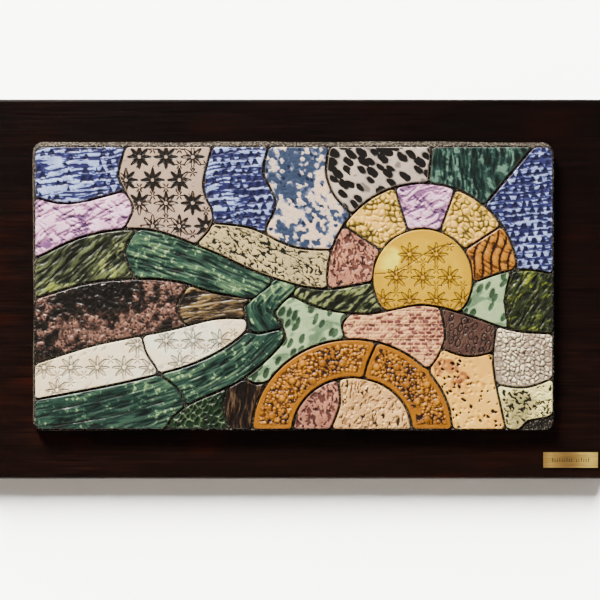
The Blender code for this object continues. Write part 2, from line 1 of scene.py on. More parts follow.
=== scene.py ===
"""Looks of the ceramic wall panel: glazed tiles in a mortar bed on a dark stained board.

Every length in a pattern is in millimetres, and every mesh is in metres.
"""

import math

import bmesh
import bpy
import numpy as np
from mathutils import Matrix, Vector
from mathutils.geometry import interpolate_bezier


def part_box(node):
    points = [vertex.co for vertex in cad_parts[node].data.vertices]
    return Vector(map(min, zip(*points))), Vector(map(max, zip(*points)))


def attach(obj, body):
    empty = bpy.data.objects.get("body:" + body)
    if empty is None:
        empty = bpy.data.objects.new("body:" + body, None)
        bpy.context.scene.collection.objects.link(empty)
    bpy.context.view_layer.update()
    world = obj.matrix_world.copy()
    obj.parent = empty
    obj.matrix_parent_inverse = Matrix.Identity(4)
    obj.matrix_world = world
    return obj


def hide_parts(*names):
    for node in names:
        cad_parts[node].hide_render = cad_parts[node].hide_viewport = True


MM = 0.001
BOARD_FACE = -0.022
BED_FACE = -0.0263
JOINT_FACE = -0.0326
JOINT_OVERLAP = 0.0006
JOINT_PLAY = 0.00012
LIP_RISE = 0.0012
BUBBLE_ROOM = 0.0012

# Distances between the points of the finest, the plain and the sandy meshes, and of the outlines
FINE_SPACING = 0.0006
PLAIN_SPACING = 0.0008
SAND_SPACING = 0.0009
OUTLINE_STEP = 0.0013

# In millimetres: the rim of a tile, its highest relief, the stamps, and half the field of tiles
RIM_ROUND = 1.1
RIM_DROP = 0.8
MOST_LIFT = 1.2
STAMP_PITCH = 26.5
STAMP_BETWEEN = 7.65
HALF_WIDTH, HALF_HEIGHT, FIELD_UP = 258, 141, 1

# The camera, and how much of the panel's plane it takes in
SENSOR = 36
VIEW_DISTANCE = 1.8
VIEW_WIDTH = 0.6

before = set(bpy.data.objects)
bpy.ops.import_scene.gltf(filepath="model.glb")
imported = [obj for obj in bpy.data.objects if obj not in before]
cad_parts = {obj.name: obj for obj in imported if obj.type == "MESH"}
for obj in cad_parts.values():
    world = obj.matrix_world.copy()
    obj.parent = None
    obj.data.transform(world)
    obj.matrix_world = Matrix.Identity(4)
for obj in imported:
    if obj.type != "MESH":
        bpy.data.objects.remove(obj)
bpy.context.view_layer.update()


# Repeatable noise

def hashed(i, j, seed):
    """A repeatable number from 0 to 1 for each pair of whole numbers."""
    mixed = (i.astype(np.int64) * 374761393 + j.astype(np.int64) * 668265263 + seed * 974634777) & 0xFFFFFFFF
    mixed = ((mixed ^ (mixed >> 13)) * 1274126177) & 0xFFFFFFFF
    return ((mixed ^ (mixed >> 16)) & 0xFFFF) / 65535.0


def drift(x, z, size, seed):
    """Smooth noise from 0 to 1, with humps about this wide."""
    u, v = x / size, z / size
    i, j = np.floor(u), np.floor(v)
    a, b = u - i, v - j
    a, b = a * a * (3 - 2 * a), b * b * (3 - 2 * b)
    low = hashed(i, j, seed) * (1 - a) + hashed(i + 1, j, seed) * a
    high = hashed(i, j + 1, seed) * (1 - a) + hashed(i + 1, j + 1, seed) * a
    return low * (1 - b) + high * b


def mottle(x, z, size, seed):
    """Noise from 0 to 1 with finer and finer humps."""
    fine = drift(x, z, size / 2.1, seed + 1) * 0.3 + drift(x, z, size / 4.3, seed + 2) * 0.17
    return drift(x, z, size, seed) * 0.53 + fine


def turned(x, z, degrees):
    """Distances along and across a direction."""
    c, s = math.cos(math.radians(degrees)), math.sin(math.radians(degrees))
    return x * c + z * s, z * c - x * s


def combed(x, z, degrees, length, width, seed):
    """Noise from 0 to 1 drawn out along a direction."""
    along, across = turned(x, z, degrees)
    bend = (drift(x, z, length * 1.7, seed + 5) - 0.5) * width * 2.5
    return mottle(along * width / length, across + bend, width, seed)


def cells(x, z, size, seed, spread=0.8):
    """Distances to the nearest two points of a random net, in steps, and the nearest one's number."""
    u, v = x / size, z / size
    i, j = np.floor(u), np.floor(v)
    nearest = np.full(u.shape, 9.0)
    following = np.full(u.shape, 9.0)
    number = np.zeros(u.shape)
    for across in (-1, 0, 1):
        for up in (-1, 0, 1):
            a = i + across + 0.5 + spread * (hashed(i + across, j + up, seed) - 0.5)
            b = j + up + 0.5 + spread * (hashed(i + across, j + up, seed + 1) - 0.5)
            away = np.hypot(u - a, v - b)
            following = np.minimum(following, np.maximum(away, nearest))
            number = np.where(away < nearest, hashed(i + across, j + up, seed + 2), number)
            nearest = np.minimum(nearest, away)
    return nearest, following, number


def unit(value):
    """A value held between 0 and 1."""
    return np.clip(value, 0, 1)


def ease(value, low, high):
    """0 below the low end, 1 above the high end, smooth between them."""
    share = unit((value - low) / (high - low))
    return share * share * (3 - 2 * share)


# Tile patterns: height in millimetres, tone of the glaze and stain in its hollows, from 0 to 1

def cobalt_dabs(tile, x, z):
    """Rows of three-cornered dabs with wavering brush strokes between them."""
    slope = z - 0.10 * x + 3.2 * (drift(x, z, 46, 31) - 0.5)
    row = np.floor(slope / 7.4)
    shift = x / 8.6 + 0.5 * (row % 2) + 0.8 * hashed(row, row, 32)
    column = np.floor(shift)
    up = slope / 7.4 - row + 0.22 * (hashed(column, row, 41) - 0.5)
    side = np.abs(shift - column - 0.5 + 0.3 * (hashed(column, row, 33) - 0.5))
    wide = 0.22 + 0.2 * hashed(column, row, 34)
    taper = 1.25 - up * (0.8 + 0.4 * hashed(column, row, 35)) + 0.5 * (mottle(x, z, 3, 42) - 0.5)
    shown = drift(x, z, 30, 36) + 0.6 * hashed(column, row, 37) > 0.54
    dab = ease(wide * taper - side, -0.03, 0.05) * ease(up, 0.04, 0.12)
    dab = dab * ease(0.90 - up, 0, 0.12) * shown
    brush = ease(combed(x, z, 6, 14, 1.9, 38) + 0.26 * (drift(x, z, 34, 39) - 0.5), 0.47, 0.57)
    blue = np.maximum(dab * (0.85 + 0.3 * drift(x, z, 8, 43)), 0.64 * brush)
    tone = unit(blue + 0.2 * drift(x, z, 9, 40))
    return -0.6 * dab - 0.45 * brush, tone, 0 * tone


def lilac_strokes(tile, x, z):
    deep = drift(x, z, 30, 53)
    rising = ease(combed(x, z, 27, 11, 2.3, 51) + 0.24 * (deep - 0.5), 0.49, 0.58)
    falling = ease(combed(x, z, -34, 9, 2.3, 52) + 0.2 * (deep - 0.5), 0.54, 0.63)
    tone = unit(0.6 * rising * (0.6 + 0.6 * deep) + 0.42 * falling + 0.2 * drift(x, z, 9, 54))
    return -0.7 * rising - 0.6 * falling, tone, 0.45 * rising * falling


def stained_rosettes(tile, x, z):
    depth, outline, vein, rays = rosettes(tile)
    patch = ease(drift(x, z, 26, 61) + 0.3 * (mottle(x, z, 5, 67) - 0.5), 0.30, 0.56)
    tone = 0.25 + 0.5 * mottle(x, z, 16, 62)
    specks = ease(mottle(x, z, 4.2, 63), 0.70, 0.76) * 0.6
    stain = np.maximum(outline, depth * (0.25 + 0.75 * patch) * (1 - 0.6 * vein * (1 - patch)))
    return -0.75 * depth + 0.4 * vein - 0.3 * rays, tone, unit(np.maximum(stain, rays) + specks)


def white_rosettes(tile, x, z):
    depth, outline, vein, rays = rosettes(tile)
    patch = ease(drift(x, z, 46, 64), 0.6, 0.85)
    tone = 0.15 + 0.5 * mottle(x, z, 22, 65) + 0.3 * patch
    hair = ease(combed(x, z, 50, 8, 1.9, 66), 0.60, 0.68) * (1 - ease(tile.edge, 4, 9))
    stain = np.maximum(np.maximum(0.58 * outline, 0.28 * depth), np.maximum(0.5 * rays, 0.42 * hair))
    return -1.1 * depth + 0.7 * vein - 0.6 * rays - 0.3 * hair, tone, np.clip(stain, 0, 0.62)


def yellow_rosettes(tile, x, z):
    depth, outline, vein, rays = rosettes(tile)
    along, across = turned(x - 40, z, 54)
    vein_line = ease(1.0 - np.abs(across + 3 * np.sin(along / 15)), 0, 0.6)
    ray_line = ease(0.8 - np.abs(turned(x, z, 20)[1] + 14 + 4 * np.sin(x / 13)), 0, 0.5)
    lines = np.maximum(vein_line, ray_line)
    patch = ease(drift(x, z, 32, 72), 0.66, 0.85)
    tone = 0.55 + 0.4 * (mottle(x, z, 26, 71) - 0.5) - 0.5 * patch
    tone = unit(tone + 0.25 * (1 - ease(tile.edge, 1, 12)))
    stain = np.maximum(np.maximum(0.66 * outline, 0.3 * depth), np.maximum(0.6 * rays, 0.62 * lines))
    return -0.75 * depth + 0.4 * vein - 0.4 * rays - 0.5 * lines, tone, np.clip(stain, 0, 0.8)


def blue_mottle(tile, x, z):
    bent = 2.6 * (drift(x, z, 3, 85) - 0.5)
    near, _, number = cells(x + bent, z - bent, 3.6, 81)
    blot = 0.5 * number + 0.5 * mottle(x, z, 8, 82) + 0.45 * (drift(x, z, 34, 83) - 0.5)
    tone = unit(ease(blot, 0.40, 0.62) * 0.75 + 0.22 * mottle(x, z, 20, 84))
    dots = ease(number, 0.95, 0.96) * ease(0.42 - near, 0, 0.1)
    return -0.3 * ease(near, 0.35, 0.7) - 0.3 * tone, tone, dots


def pale_specks(tile, x, z):
    patch = drift(x, z, 36, 92)
    worm = ease(combed(x, z, -38, 3.0, 1.6, 91) + 0.08 * (patch - 0.5), 0.51, 0.58)
    tone = 0.2 + 0.6 * mottle(x, z, 16, 93)
    return -0.45 * worm, tone, worm * (0.35 + 0.6 * patch)


def black_spots(tile, x, z):
    along, across = turned(x, z, -38)
    wobble = 1.6 * (drift(x, z, 4, 104) - 0.5)
    near, _, number = cells((along + wobble) * 0.55, across - wobble, 7.6, 101, 0.7)
    spot = ease(0.33 + 0.22 * number - near, -0.03, 0.05) * (number > 0.1)
    halo = ease(0.50 + 0.2 * number - near, 0, 0.2) * ease(mottle(x, z, 9, 102), 0.45, 0.6)
    swipe = ease(2.9 - np.abs(across - 14 + 0.02 * along) + wobble, 0, 0.8)
    swipe = swipe * ease(24 - np.abs(along - 40), 0, 4)
    tone = unit(0.9 - 0.3 * mottle(x, z, 20, 103) - 0.55 * halo)
    return -0.55 * spot - 0.35 * swipe, tone, unit(np.maximum(spot, swipe))


def upright_streaks(tile, x, z):
    streak = combed(x, z, 92, 11, 2.1, 111)
    mint = ease(drift(x, z, 26, 112) + 0.5 * (mottle(x, z, 6, 113) - 0.5), 0.52, 0.60)
    tone = unit(ease(streak, 0.36, 0.68) * 0.62 + 0.5 * mint * ease(mottle(x, z, 5, 114), 0.36, 0.5))
    return 0.6 * (ease(streak, 0.35, 0.7) - 1), tone, 0.7 * ease(0.42 - streak, 0, 0.08)


def cross_cuts(tile, x, z):
    cut = ease(combed(x, z, -30, 8, 1.9, 121), 0.50, 0.58)
    along, across = turned(x, z, 80)
    ridge = 0.5 + 0.5 * np.sin(across / 8.5 * math.tau + 1.2 * np.sin(along / 6))
    gully = ease(0.14 - ridge, -0.1, 0.08)
    tone = unit(0.35 + 0.5 * mottle(x, z, 10, 122) + 0.25 * ridge - 0.2 * cut)
    return 0.5 * (ridge - 1) - 0.45 * cut, tone, unit(0.55 * cut + 0.9 * gully)


def pebbles(tile, x, z):
    bent = 2.6 * (drift(x, z, 5, 131) - 0.5)
    near, following, number = cells(x + bent, z - bent, 5.6, 132)
    gap = following - near + 0.35 * (mottle(x, z, 4, 135) - 0.5)
    crevice = ease(0.22 - gap, 0, 0.2)
    olive = ease(mottle(x, z, 9, 133) + 0.35 * (number - 0.5), 0.44, 0.58)
    shade = ease(0.62 - gap, 0, 0.5) * olive
    tone = unit(0.12 * number + 0.62 * shade + 0.35 * crevice)
    height = 1.5 * ease(gap, 0, 0.6) * (0.35 + 0.65 * number) - 1.4
    return height, tone, 0.6 * crevice * olive * ease(mottle(x, z, 6, 134), 0.46, 0.62)


def pink_flecks(tile, x, z):
    fleck = ease(combed(x, z, 98, 3.8, 1.9, 141) + 0.2 * (drift(x, z, 24, 142) - 0.5), 0.49, 0.57)
    deep = ease(drift(x, z, 5, 144), 0.55, 0.75)
    tone = unit(0.10 + (0.5 + 0.3 * deep) * fleck + 0.3 * (drift(x, z, 15, 143) - 0.4))
    return -0.8 * fleck, tone, 0.5 * fleck * deep


def comb_marks(tile, x, z, degrees, seed, coarse=1.0):
    """Strokes of a comb, with the deeper cuts that the tile's solid also has."""
    tile.draw_along(degrees)
    rake = combed(x, z, degrees, 11 * coarse, 2.0 * coarse, seed)
    across = turned(x - tile.middle[0], z - tile.middle[1], degrees)[1]
    apart = np.abs((across / 9.5) % 1 - 0.5) * 9.5
    deep = ease(1.1 - apart, 0, 1.1)
    patch = drift(x, z, 22, seed + 7)
    tone = unit(ease(rake, 0.42, 0.64) * 0.62 + 0.5 * (patch - 0.4) - 0.2 * deep)
    stain = unit(0.7 * ease(0.46 - rake, 0, 0.08))
    return 0.9 * (ease(rake, 0.38, 0.62) - 1) - 0.7 * deep, tone, stain


def olive_comb(tile, x, z):
    height, tone, stain = comb_marks(tile, x, z, 42, 151)
    bright = ease(drift(x, z, 20, 155) + 0.6 * (mottle(x, z, 5, 156) - 0.5), 0.80, 0.92)
    return height, unit(0.8 * tone + 0.5 * bright), stain * (1 - bright)


def meadow_comb(tile, x, z):
    return comb_marks(tile, x, z, 8, 161)


def hill_veins(tile, x, z):
    height, tone, stain = comb_marks(tile, x, z, 60, 171, 0.9)
    worm = ease(combed(x, z, 20, 5, 2.2, 174), 0.58, 0.66)
    bright = ease(combed(x, z, 38, 11, 3.0, 175), 0.62, 0.70)
    tone = unit(tone * 0.55 + 0.25 * worm + 0.5 * bright)
    return height + 0.3 * worm, tone, stain * (1 - bright) * (1 - worm)


def dusky_strokes(tile, x, z):
    tile.draw_along(38)
    rake = combed(x, z, 38, 8, 2.2, 181)
    tone = ease(rake, 0.40, 0.64)
    return 0.7 * (tone - 1), 0.75 * tone, 0.75 * ease(0.47 - rake, 0, 0.08)


def along_flow(tile, x, z):
    """Fine streaks along a tile, with short nicks across and the cuts that its solid also has."""
    run, side = tile.run, tile.side
    tile.comb = (run, side)
    bend = (drift(x, z, 24, 191) - 0.5) * 3
    streak = mottle(run * 0.14, side + bend, 2.2, 192)
    patch = drift(x, z, 30, 193)
    nick = ease(mottle(run * 0.7, side * 0.5, 2.0, 194), 0.66, 0.74)
    tone = unit(ease(streak, 0.40, 0.70) * 0.5 + 0.55 * (patch - 0.42) + 0.5 * nick)
    height = 0.5 * (ease(streak, 0.35, 0.7) - 1) + 0.25 * nick - 0.75 * tile.cut
    return height, tone, unit(0.65 * ease(0.44 - streak, 0, 0.08) + 0.45 * tile.cut)


def leaf_drops(tile, x, z):
    wobble = 2.2 * (drift(x, z, 9, 205) - 0.5)
    along, across = turned(x + wobble, z - wobble, 64)
    near, _, number = cells(along * 0.5, across, 7.6, 201, 0.7)
    reach = 0.28 + 0.13 * number - near
    drop = ease(reach, -0.02, 0.06) * (number > 0.2)
    ring = ease(0.06 - np.abs(reach - 0.03), 0, 0.05) * (number > 0.2)
    wash = ease(combed(x, z, 20, 18, 7, 202), 0.54, 0.64)
    tone = 0.08 + 0.2 * mottle(x, z, 18, 203) + 0.28 * wash
    tone = unit(tone + (0.42 + 0.35 * drift(x, z, 7, 204)) * drop)
    return -0.6 * drop, tone, 0.36 * ring * drift(x, z, 6, 206)


def dark_pebbles(tile, x, z):
    bent = 3.4 * (drift(x, z, 6, 211) - 0.5)
    near, following, number = cells(x + bent, z - bent, 6.4, 212)
    small, after, share = cells(x - bent, z, 3.2, 213)
    broad = drift(x, z, 44, 214)
    level = 0.2 * number + 0.14 * share + 0.5 * mottle(x, z, 9, 215)
    level = level + 0.3 * mottle(x, z, 3.6, 216) + 0.4 * (broad - 0.5)
    light = ease(level, 0.40, 0.76)
    gap = ease(0.14 - (following - near), 0, 0.12)
    hole = ease(0.36 - small, 0, 0.16) * (share > 0.62)
    tone = unit(light * (0.8 + 0.3 * share) * (1 - 0.3 * gap) * (1 - 0.8 * hole))
    height = 1.1 * ease(following - near, 0, 0.5) * number + 0.6 * ease(after - small, 0, 0.4) * share - 1.2
    return height - 0.6 * hole, tone, unit(gap * 0.4 + 0.5 * ease(0.34 - level, 0, 0.1))


def green_veins(tile, x, z):
    bent = 3.0 * (drift(x, z, 6, 221) - 0.5)
    along, across = turned(x + bent, z - bent, 55)
    near, following, number = cells(along * 0.6, across, 5.0, 222)
    vein = ease(0.20 - (following - near), 0, 0.16)
    bright = ease(drift(x, z, 14, 224), 0.3, 0.7)
    tone = unit(0.12 + 0.45 * mottle(x, z, 10, 223) + 0.75 * vein * bright)
    return 1.2 * vein - 1.2, tone, ease(0.30 - near, 0, 0.12) * (number > 0.35)


def root_strokes(tile, x, z):
    tile.draw_along(86)
    rake = combed(x, z, 86, 11, 1.9, 231)
    tone = 0.9 * ease(rake, 0.46, 0.72)
    return 0.7 * (ease(rake, 0.35, 0.7) - 1), tone, 0.8 * ease(0.46 - rake, 0, 0.08)


def amber_bubbles(tile, x, z):
    near, _, number = cells(x, z, 4.2, 241, 0.75)
    small, _, share = cells(x + 40, z, 2.7, 242, 0.8)
    busy = ease(tile.edge, 3.0, 5.2) * ease(mottle(x, z, 20, 243), 0.20, 0.32)
    bead = np.sqrt(unit(1 - (near / 0.46) ** 2)) * (number > 0.15)
    seed_bead = np.sqrt(unit(1 - (small / 0.42) ** 2)) * (share > 0.3)
    dome = np.zeros(x.shape)
    for place in tile.spots(20, 5.5):
        away = np.hypot(x - place[0], z - place[1])
        dome = np.maximum(dome, np.sqrt(unit(1 - (away / 3.9) ** 2)))
    free = 1 - ease(dome, 0, 0.3)
    relief = np.maximum(bead * (0.95 + 0.35 * number), 0.9 * seed_bead) * busy * free
    # painted highlight: the tops of the beads and domes are given a lighter tone
    top = np.maximum(dome, np.maximum(bead, 0.85 * seed_bead) * busy * free)
    burnt = ease(mottle(x, z, 13, 244), 0.50, 0.62)
    tone = unit(0.30 + 0.55 * top + 0.35 * (1 - busy) - 0.2 * burnt * busy)
    stain = busy * ease(0.55 - top, 0, 0.4) * (0.46 + 0.5 * burnt)
    return 1.15 * dome + relief - 0.5 * busy * (1 - dome), tone, unit(stain)


def brick_rows(tile, x, z):
    """Small blocks in rows, some dark and some pale, between the joints that the tile's solid also has."""
    along, up = x - tile.middle[0], z - tile.middle[1]
    row = np.floor(up / 3.625 + 0.5)
    level = np.abs(up / 3.625 - row)
    shift = along / 7.0 + 0.5 * (row % 2) + 0.12 * np.sin(up)
    column = np.floor(shift)
    side = np.abs(shift - column - 0.5)
    block = ease(0.44 - level, 0, 0.1) * ease(0.44 - side, 0, 0.07)
    dark = ease(0.55 * hashed(column, row, 261) + 0.5 * drift(x, z, 20, 262), 0.42, 0.62)
    hatch = ease(combed(x, z, 33, 6, 1.9, 263), 0.52, 0.60)
    course = ease(0.9 - np.abs((up / 14.5) % 1 - 0.5) * 14.5, 0, 0.9)
    wide_row = np.floor(up / 14.5 + 0.5)
    apart = np.abs((along / 28 - (wide_row % 2) / 2 + 0.5) % 1 - 0.5) * 28
    joint = np.maximum(course, ease(0.9 - apart, 0, 0.9))
    tone = unit(block * dark * (0.7 + 0.3 * hatch) + 0.15 * hatch - 0.3 * joint)
    stain = unit(0.3 * hatch * block + 0.5 * joint)
    return 0.45 * block - 0.45 - 0.25 * hatch - 0.65 * joint, tone, stain


def pits(tile, x, z):
    bent = 2.4 * (drift(x, z, 3, 277) - 0.5)
    near, _, number = cells(x + bent, z - bent, 6.0, 271, 0.95)
    busy = ease(drift(x, z, 26, 272), 0.25, 0.5)
    pit = ease(0.12 + 0.2 * number - near, -0.02, 0.06) * (number > 0.42) * busy
    dent = ease(0.42 - cells(x + 20, z + bent, 6.5, 273)[0], 0, 0.4) * ease(drift(x, z, 16, 278), 0.3, 0.65)
    rust = ease(mottle(x, z, 15, 275), 0.56, 0.70)
    tone = unit(0.15 + 0.4 * drift(x, z, 34, 274) + 0.5 * rust)
    stain = unit(pit + 0.42 * ease(mottle(x, z, 7, 276), 0.62, 0.70) * rust)
    return -1.4 * pit - 1.1 * dent, tone, stain


def rings(tile, x, z):
    tile.draw_along(60)
    wobble = 1.6 * (drift(x, z, 5, 284) - 0.5)
    along, across = turned(x + wobble, z - wobble, 70)
    near, _, number = cells(along * 0.55, across, 6.2, 281, 0.6)
    ring = ease(0.085 - np.abs(near - 0.33), 0, 0.05) * (number > 0.15)
    bar = ease(0.12 - near, 0, 0.05) * (number > 0.45)
    hatch = ease(combed(x, z, 55, 7, 1.9, 282), 0.56, 0.63)
    tone = unit(0.35 + 0.6 * mottle(x, z, 12, 283) - 0.25 * hatch)
    return -0.6 * ring - 0.5 * bar - 0.3 * hatch, tone, unit(0.9 * ring + 0.8 * bar + 0.42 * hatch)


def popcorn(tile, x, z):
    bent = 2.0 * (drift(x, z, 4, 291) - 0.5)
    near, following, number = cells(x + bent, z - bent, 4.8, 292)
    small, after, share = cells(x - bent, z, 2.7, 293)
    busy = 0.45 + 0.55 * ease(drift(x, z, 24, 294), 0.25, 0.6)
    crumb = 1.9 * ease(following - near, 0, 0.5) * (0.35 + 0.65 * number)
    crumb = (crumb + 0.8 * ease(after - small, 0, 0.5) * share) * busy
    # painted shade: the tone is darker where the crumbs are low, and the crevice stain darkens the gaps
    # between them
    tone = unit(0.3 + 0.6 * ease(crumb, 0.1, 1.3) + 0.4 * (drift(x, z, 30, 295) - 0.5))
    crevice = ease(0.22 - (following - near), 0, 0.14) * ease(drift(x, z, 9, 296), 0.26, 0.5)
    return 1.3 * crumb - 1.7, tone, 0.6 * crevice * ease(drift(x, z, 22, 297), 0.5, 0.62)


def green_specks(tile, x, z):
    patch = drift(x, z, 28, 302)
    worm = ease(combed(x, z, -20, 3.0, 1.8, 301) + 0.12 * (patch - 0.5), 0.54, 0.61)
    tone = unit(0.05 + 0.4 * mottle(x, z, 12, 303) + 0.5 * ease(patch, 0.66, 0.9))
    return -0.6 * worm, tone, worm * (0.3 + 0.7 * ease(mottle(x, z, 7, 304), 0.35, 0.55))


def scratches(tile, x, z):
    nick = ease(combed(x, z, 78, 5.5, 2.0, 311), 0.56, 0.64)
    dent = ease(mottle(x, z, 5, 313), 0.45, 0.65)
    tone = unit(0.1 + 0.6 * mottle(x, z, 22, 312) + 0.3 * nick)
    return -0.9 * nick - 0.9 * dent, tone, 0.7 * nick * ease(drift(x, z, 4, 314), 0.3, 0.6)


# What a tile is made of, and its outline

class Tile:
    """Where the points of a tile's face lie, in millimetres, and what is drawn across it."""

    def __init__(self, outline, smooth, x, z):
        self.outline = outline
        self.x = x
        self.z = z
        self.middle = outline.mean(axis=0)
        self.edge = away_from(smooth, x, z)
        self.cut = np.zeros(x.shape)
        self.comb = (x, z)

    def follow(self, lines):
        """Takes the tile's length from the first of its drawn lines, which is run on past both ends."""
        first = [np.array(point) for point in lines[0]]
        start = first[0] + (first[0] - first[1]) * 60 / np.hypot(*(first[0] - first[1]))
        end = first[-1] + (first[-1] - first[-2]) * 60 / np.hypot(*(first[-1] - first[-2]))
        self.run, self.side = beside_line([start, *first, end], self.x, self.z)
        for line in lines:
            away = np.abs(beside_line(line, self.x, self.z)[1])
            self.cut = np.maximum(self.cut, ease(0.95 - away, 0, 0.95))

    def draw_along(self, degrees):
        """Turns the finest streaks of the glaze."""
        self.comb = turned(self.x, self.z, degrees)

    def spots(self, pitch, reach):
        """The same staggered places as the solid's stamps have."""
        row_pitch = pitch * math.sin(math.radians(60))
        places = []
        for row in range(-20, 21):
            for column in range(-30, 31):
                place = self.middle + np.array((pitch * (column + (row % 2) / 2), row_pitch * row))
                places.append(place)
        places = np.array(places)
        room = away_from(self.outline, places[:, 0], places[:, 1])
        return places[(room > reach) & inside(self.outline, places[:, 0], places[:, 1])]


def beside_line(line, x, z):
    """How far along a line of straight steps the nearest point is, and how far it is to the side."""
    nearest = np.full(x.shape, 1e9)
    run = np.zeros(x.shape)
    side = np.zeros(x.shape)
    walked = 0.0
    for (ax, az), (bx, bz) in zip(line, line[1:]):
        length = math.hypot(bx - ax, bz - az)
        share = unit(((x - ax) * (bx - ax) + (z - az) * (bz - az)) / length**2)
        away = np.hypot(x - ax - share * (bx - ax), z - az - share * (bz - az))
        left = (bx - ax) * (z - az) - (bz - az) * (x - ax)
        run = np.where(away < nearest, walked + share * length, run)
        side = np.where(away < nearest, np.copysign(away, left), side)
        nearest = np.minimum(nearest, away)
        walked += length
    return run, side


def away_from(loop, x, z):
    """The distance to a closed loop."""
    return np.abs(beside_line([*loop, loop[0]], x, z)[1])


def inside(loop, x, z):
    crossings = np.zeros(x.shape, int)
    for (ax, az), (bx, bz) in zip(loop, np.roll(loop, -1, axis=0)):
        if az == bz:
            continue
        spans = (az > z) != (bz > z)
        crossings += spans & (ax + (z - az) / (bz - az) * (bx - ax) > x)
    return crossings % 2 == 1


def rosettes(tile):
    """Stamped flowers: depth in the petals, their outlines, their raised middles, and rays between."""
    depth, outline, vein, rays = np.zeros((4, tile.x.size))
    spots = tile.spots(STAMP_PITCH, 2.5)
    for px, pz in spots:
        dx, dz = tile.x - px, tile.z - pz
        reach = np.hypot(dx, dz)
        turn = (np.arctan2(dz, dx) + math.pi / 8) % (math.pi / 4) - math.pi / 8
        along = (reach * np.cos(turn) - 6.9) / 5.3
        across = np.abs(reach * np.sin(turn))
        width = np.minimum(1.7 * unit(1 - along**2) ** 0.8, 0.27 * reach)
        within = np.where(np.abs(along) < 1, across / np.maximum(width, 0.05), 9)
        depth = np.maximum(depth, ease(1.1 - within, 0, 0.5))
        edge = ease(0.68 - np.abs(across - 0.85 * width), 0, 0.35)
        outline = np.maximum(outline, edge * (np.abs(along) < 1))
        vein = np.maximum(vein, ease(0.4 - within, 0, 0.2))
        gap = math.pi / 8 - np.abs(turn)
        ray = ease(0.5 - reach * np.sin(gap), 0, 0.35) * ease(reach, 1.5, 2.5) * ease(8.5 - reach, 0, 2)
        rays = np.maximum(rays, ray * (1 - ease(depth, 0, 0.2)))
    rises = (STAMP_BETWEEN, -STAMP_BETWEEN)
    between = [(px + STAMP_PITCH / 2, pz + rise) for px, pz in spots for rise in rises]
    for number, (px, pz) in enumerate(between):
        if number * 7 % 5 > 2:
            continue
        dx, dz = tile.x - px, tile.z - pz
        reach = np.hypot(dx, dz)
        turn = (np.arctan2(dz, dx) + math.pi / 2) % (math.pi / 3) - math.pi / 6
        along = (reach * np.cos(turn) - 2.9) / 2.4
        width = 0.85 * unit(1 - along**2) ** 0.8
        within = np.where(np.abs(along) < 1, np.abs(reach * np.sin(turn)) / np.maximum(width, 0.05), 9)
        rays = np.maximum(rays, ease(1.1 - within, 0, 0.5) * (1 - ease(depth, 0, 0.2)))
    return depth, outline, vein, rays


def back_outline(node):
    """The points round a tile's back, in order, from its solid."""
    bm = bmesh.new()
    bm.from_mesh(node.data)
    bmesh.ops.remove_doubles(bm, verts=bm.verts, dist=1e-6)
    back = max(v.co.y for v in bm.verts)
    flat = {f for f in bm.faces if all(back - v.co.y < 1e-5 for v in f.verts)}
    border = [e for e in bm.edges if sum(f in flat for f in e.link_faces) == 1]
    neighbours = {}
    for edge in border:
        for corner in edge.verts:
            neighbours.setdefault(corner, []).append(edge.other_vert(corner))
    start = border[0].verts[0]
    loop, before, here = [start], start, neighbours[start][0]
    while here is not start:
        loop.append(here)
        before, here = here, next(v for v in neighbours[here] if v is not before)
    points = [Vector((v.co.x, 0, v.co.z)) for v in loop]
    area = sum(a.x * b.z - b.x * a.z for a, b in zip(points, points[1:] + points[:1]))
    bm.free()
    return points if area > 0 else points[::-1]


def smoothed(points, step):
    """A smooth loop through the points, in short steps."""
    headings = []
    for before, after in zip(points[-1:] + points[:-1], points[1:] + points[:1]):
        headings.append((after - before).normalized())
    lengths = [(b - a).length for a, b in zip(points, points[1:] + points[:1])]
    loop = []
    for i, start in enumerate(points):
        j = (i + 1) % len(points)
        leave = start + headings[i] * min(lengths[i - 1], lengths[i]) / 3
        arrive = points[j] - headings[j] * min(lengths[i], lengths[j]) / 3
        count = max(2, round(lengths[i] / step) + 1)
        loop += interpolate_bezier(start, leave, arrive, points[j], count)[:-1]
    return loop


def sweep_cuts(bm, faces, axis, spacing):
    """Parts the faces at even steps along an axis, and gives their pieces."""
    done, ahead = [], list(faces)
    low = min(v.co[axis] for face in ahead for v in face.verts)
    high = max(v.co[axis] for face in ahead for v in face.verts)
    across = Vector([float(i == axis) for i in range(3)])
    for step in range(math.ceil(low / spacing), math.floor(high / spacing) + 1):
        level = step * spacing
        parts = set(ahead)
        for face in ahead:
            parts.update(face.edges)
            parts.update(face.verts)
        place = across * level
        found = bmesh.ops.bisect_plane(bm, geom=list(parts), dist=1e-7, plane_co=place, plane_no=across)
        pieces = [part for part in found["geom"] if isinstance(part, bmesh.types.BMFace)]
        ahead = [face for face in pieces if face.calc_center_bounds()[axis] > level]
        done += [face for face in pieces if face.calc_center_bounds()[axis] <= level]
    return done + ahead


def blank_tile(outline, back, front, spacing):
    """A tile's slab with its face parted finely enough to take a pattern."""
    bm = bmesh.new()
    base = bm.faces.new([bm.verts.new((point.x, back, point.z)) for point in outline])
    base.normal_update()
    raised = bmesh.ops.extrude_face_region(bm, geom=[base], use_keep_orig=True)["geom"]
    moved = [part for part in raised if isinstance(part, bmesh.types.BMVert)]
    bmesh.ops.translate(bm, verts=moved, vec=(0, front - back, 0))
    face = next(part for part in raised if isinstance(part, bmesh.types.BMFace))
    bmesh.ops.recalc_face_normals(bm, faces=bm.faces)
    for width in (0.35, 0.4):
        bmesh.ops.inset_individual(bm, faces=[face], thickness=width * MM, use_even_offset=False)
    sweep_cuts(bm, sweep_cuts(bm, [face], 0, spacing), 2, spacing)
    return bm


def new_object(name, data):
    added = bpy.data.objects.new(name, data)
    bpy.context.scene.collection.objects.link(added)
    return added


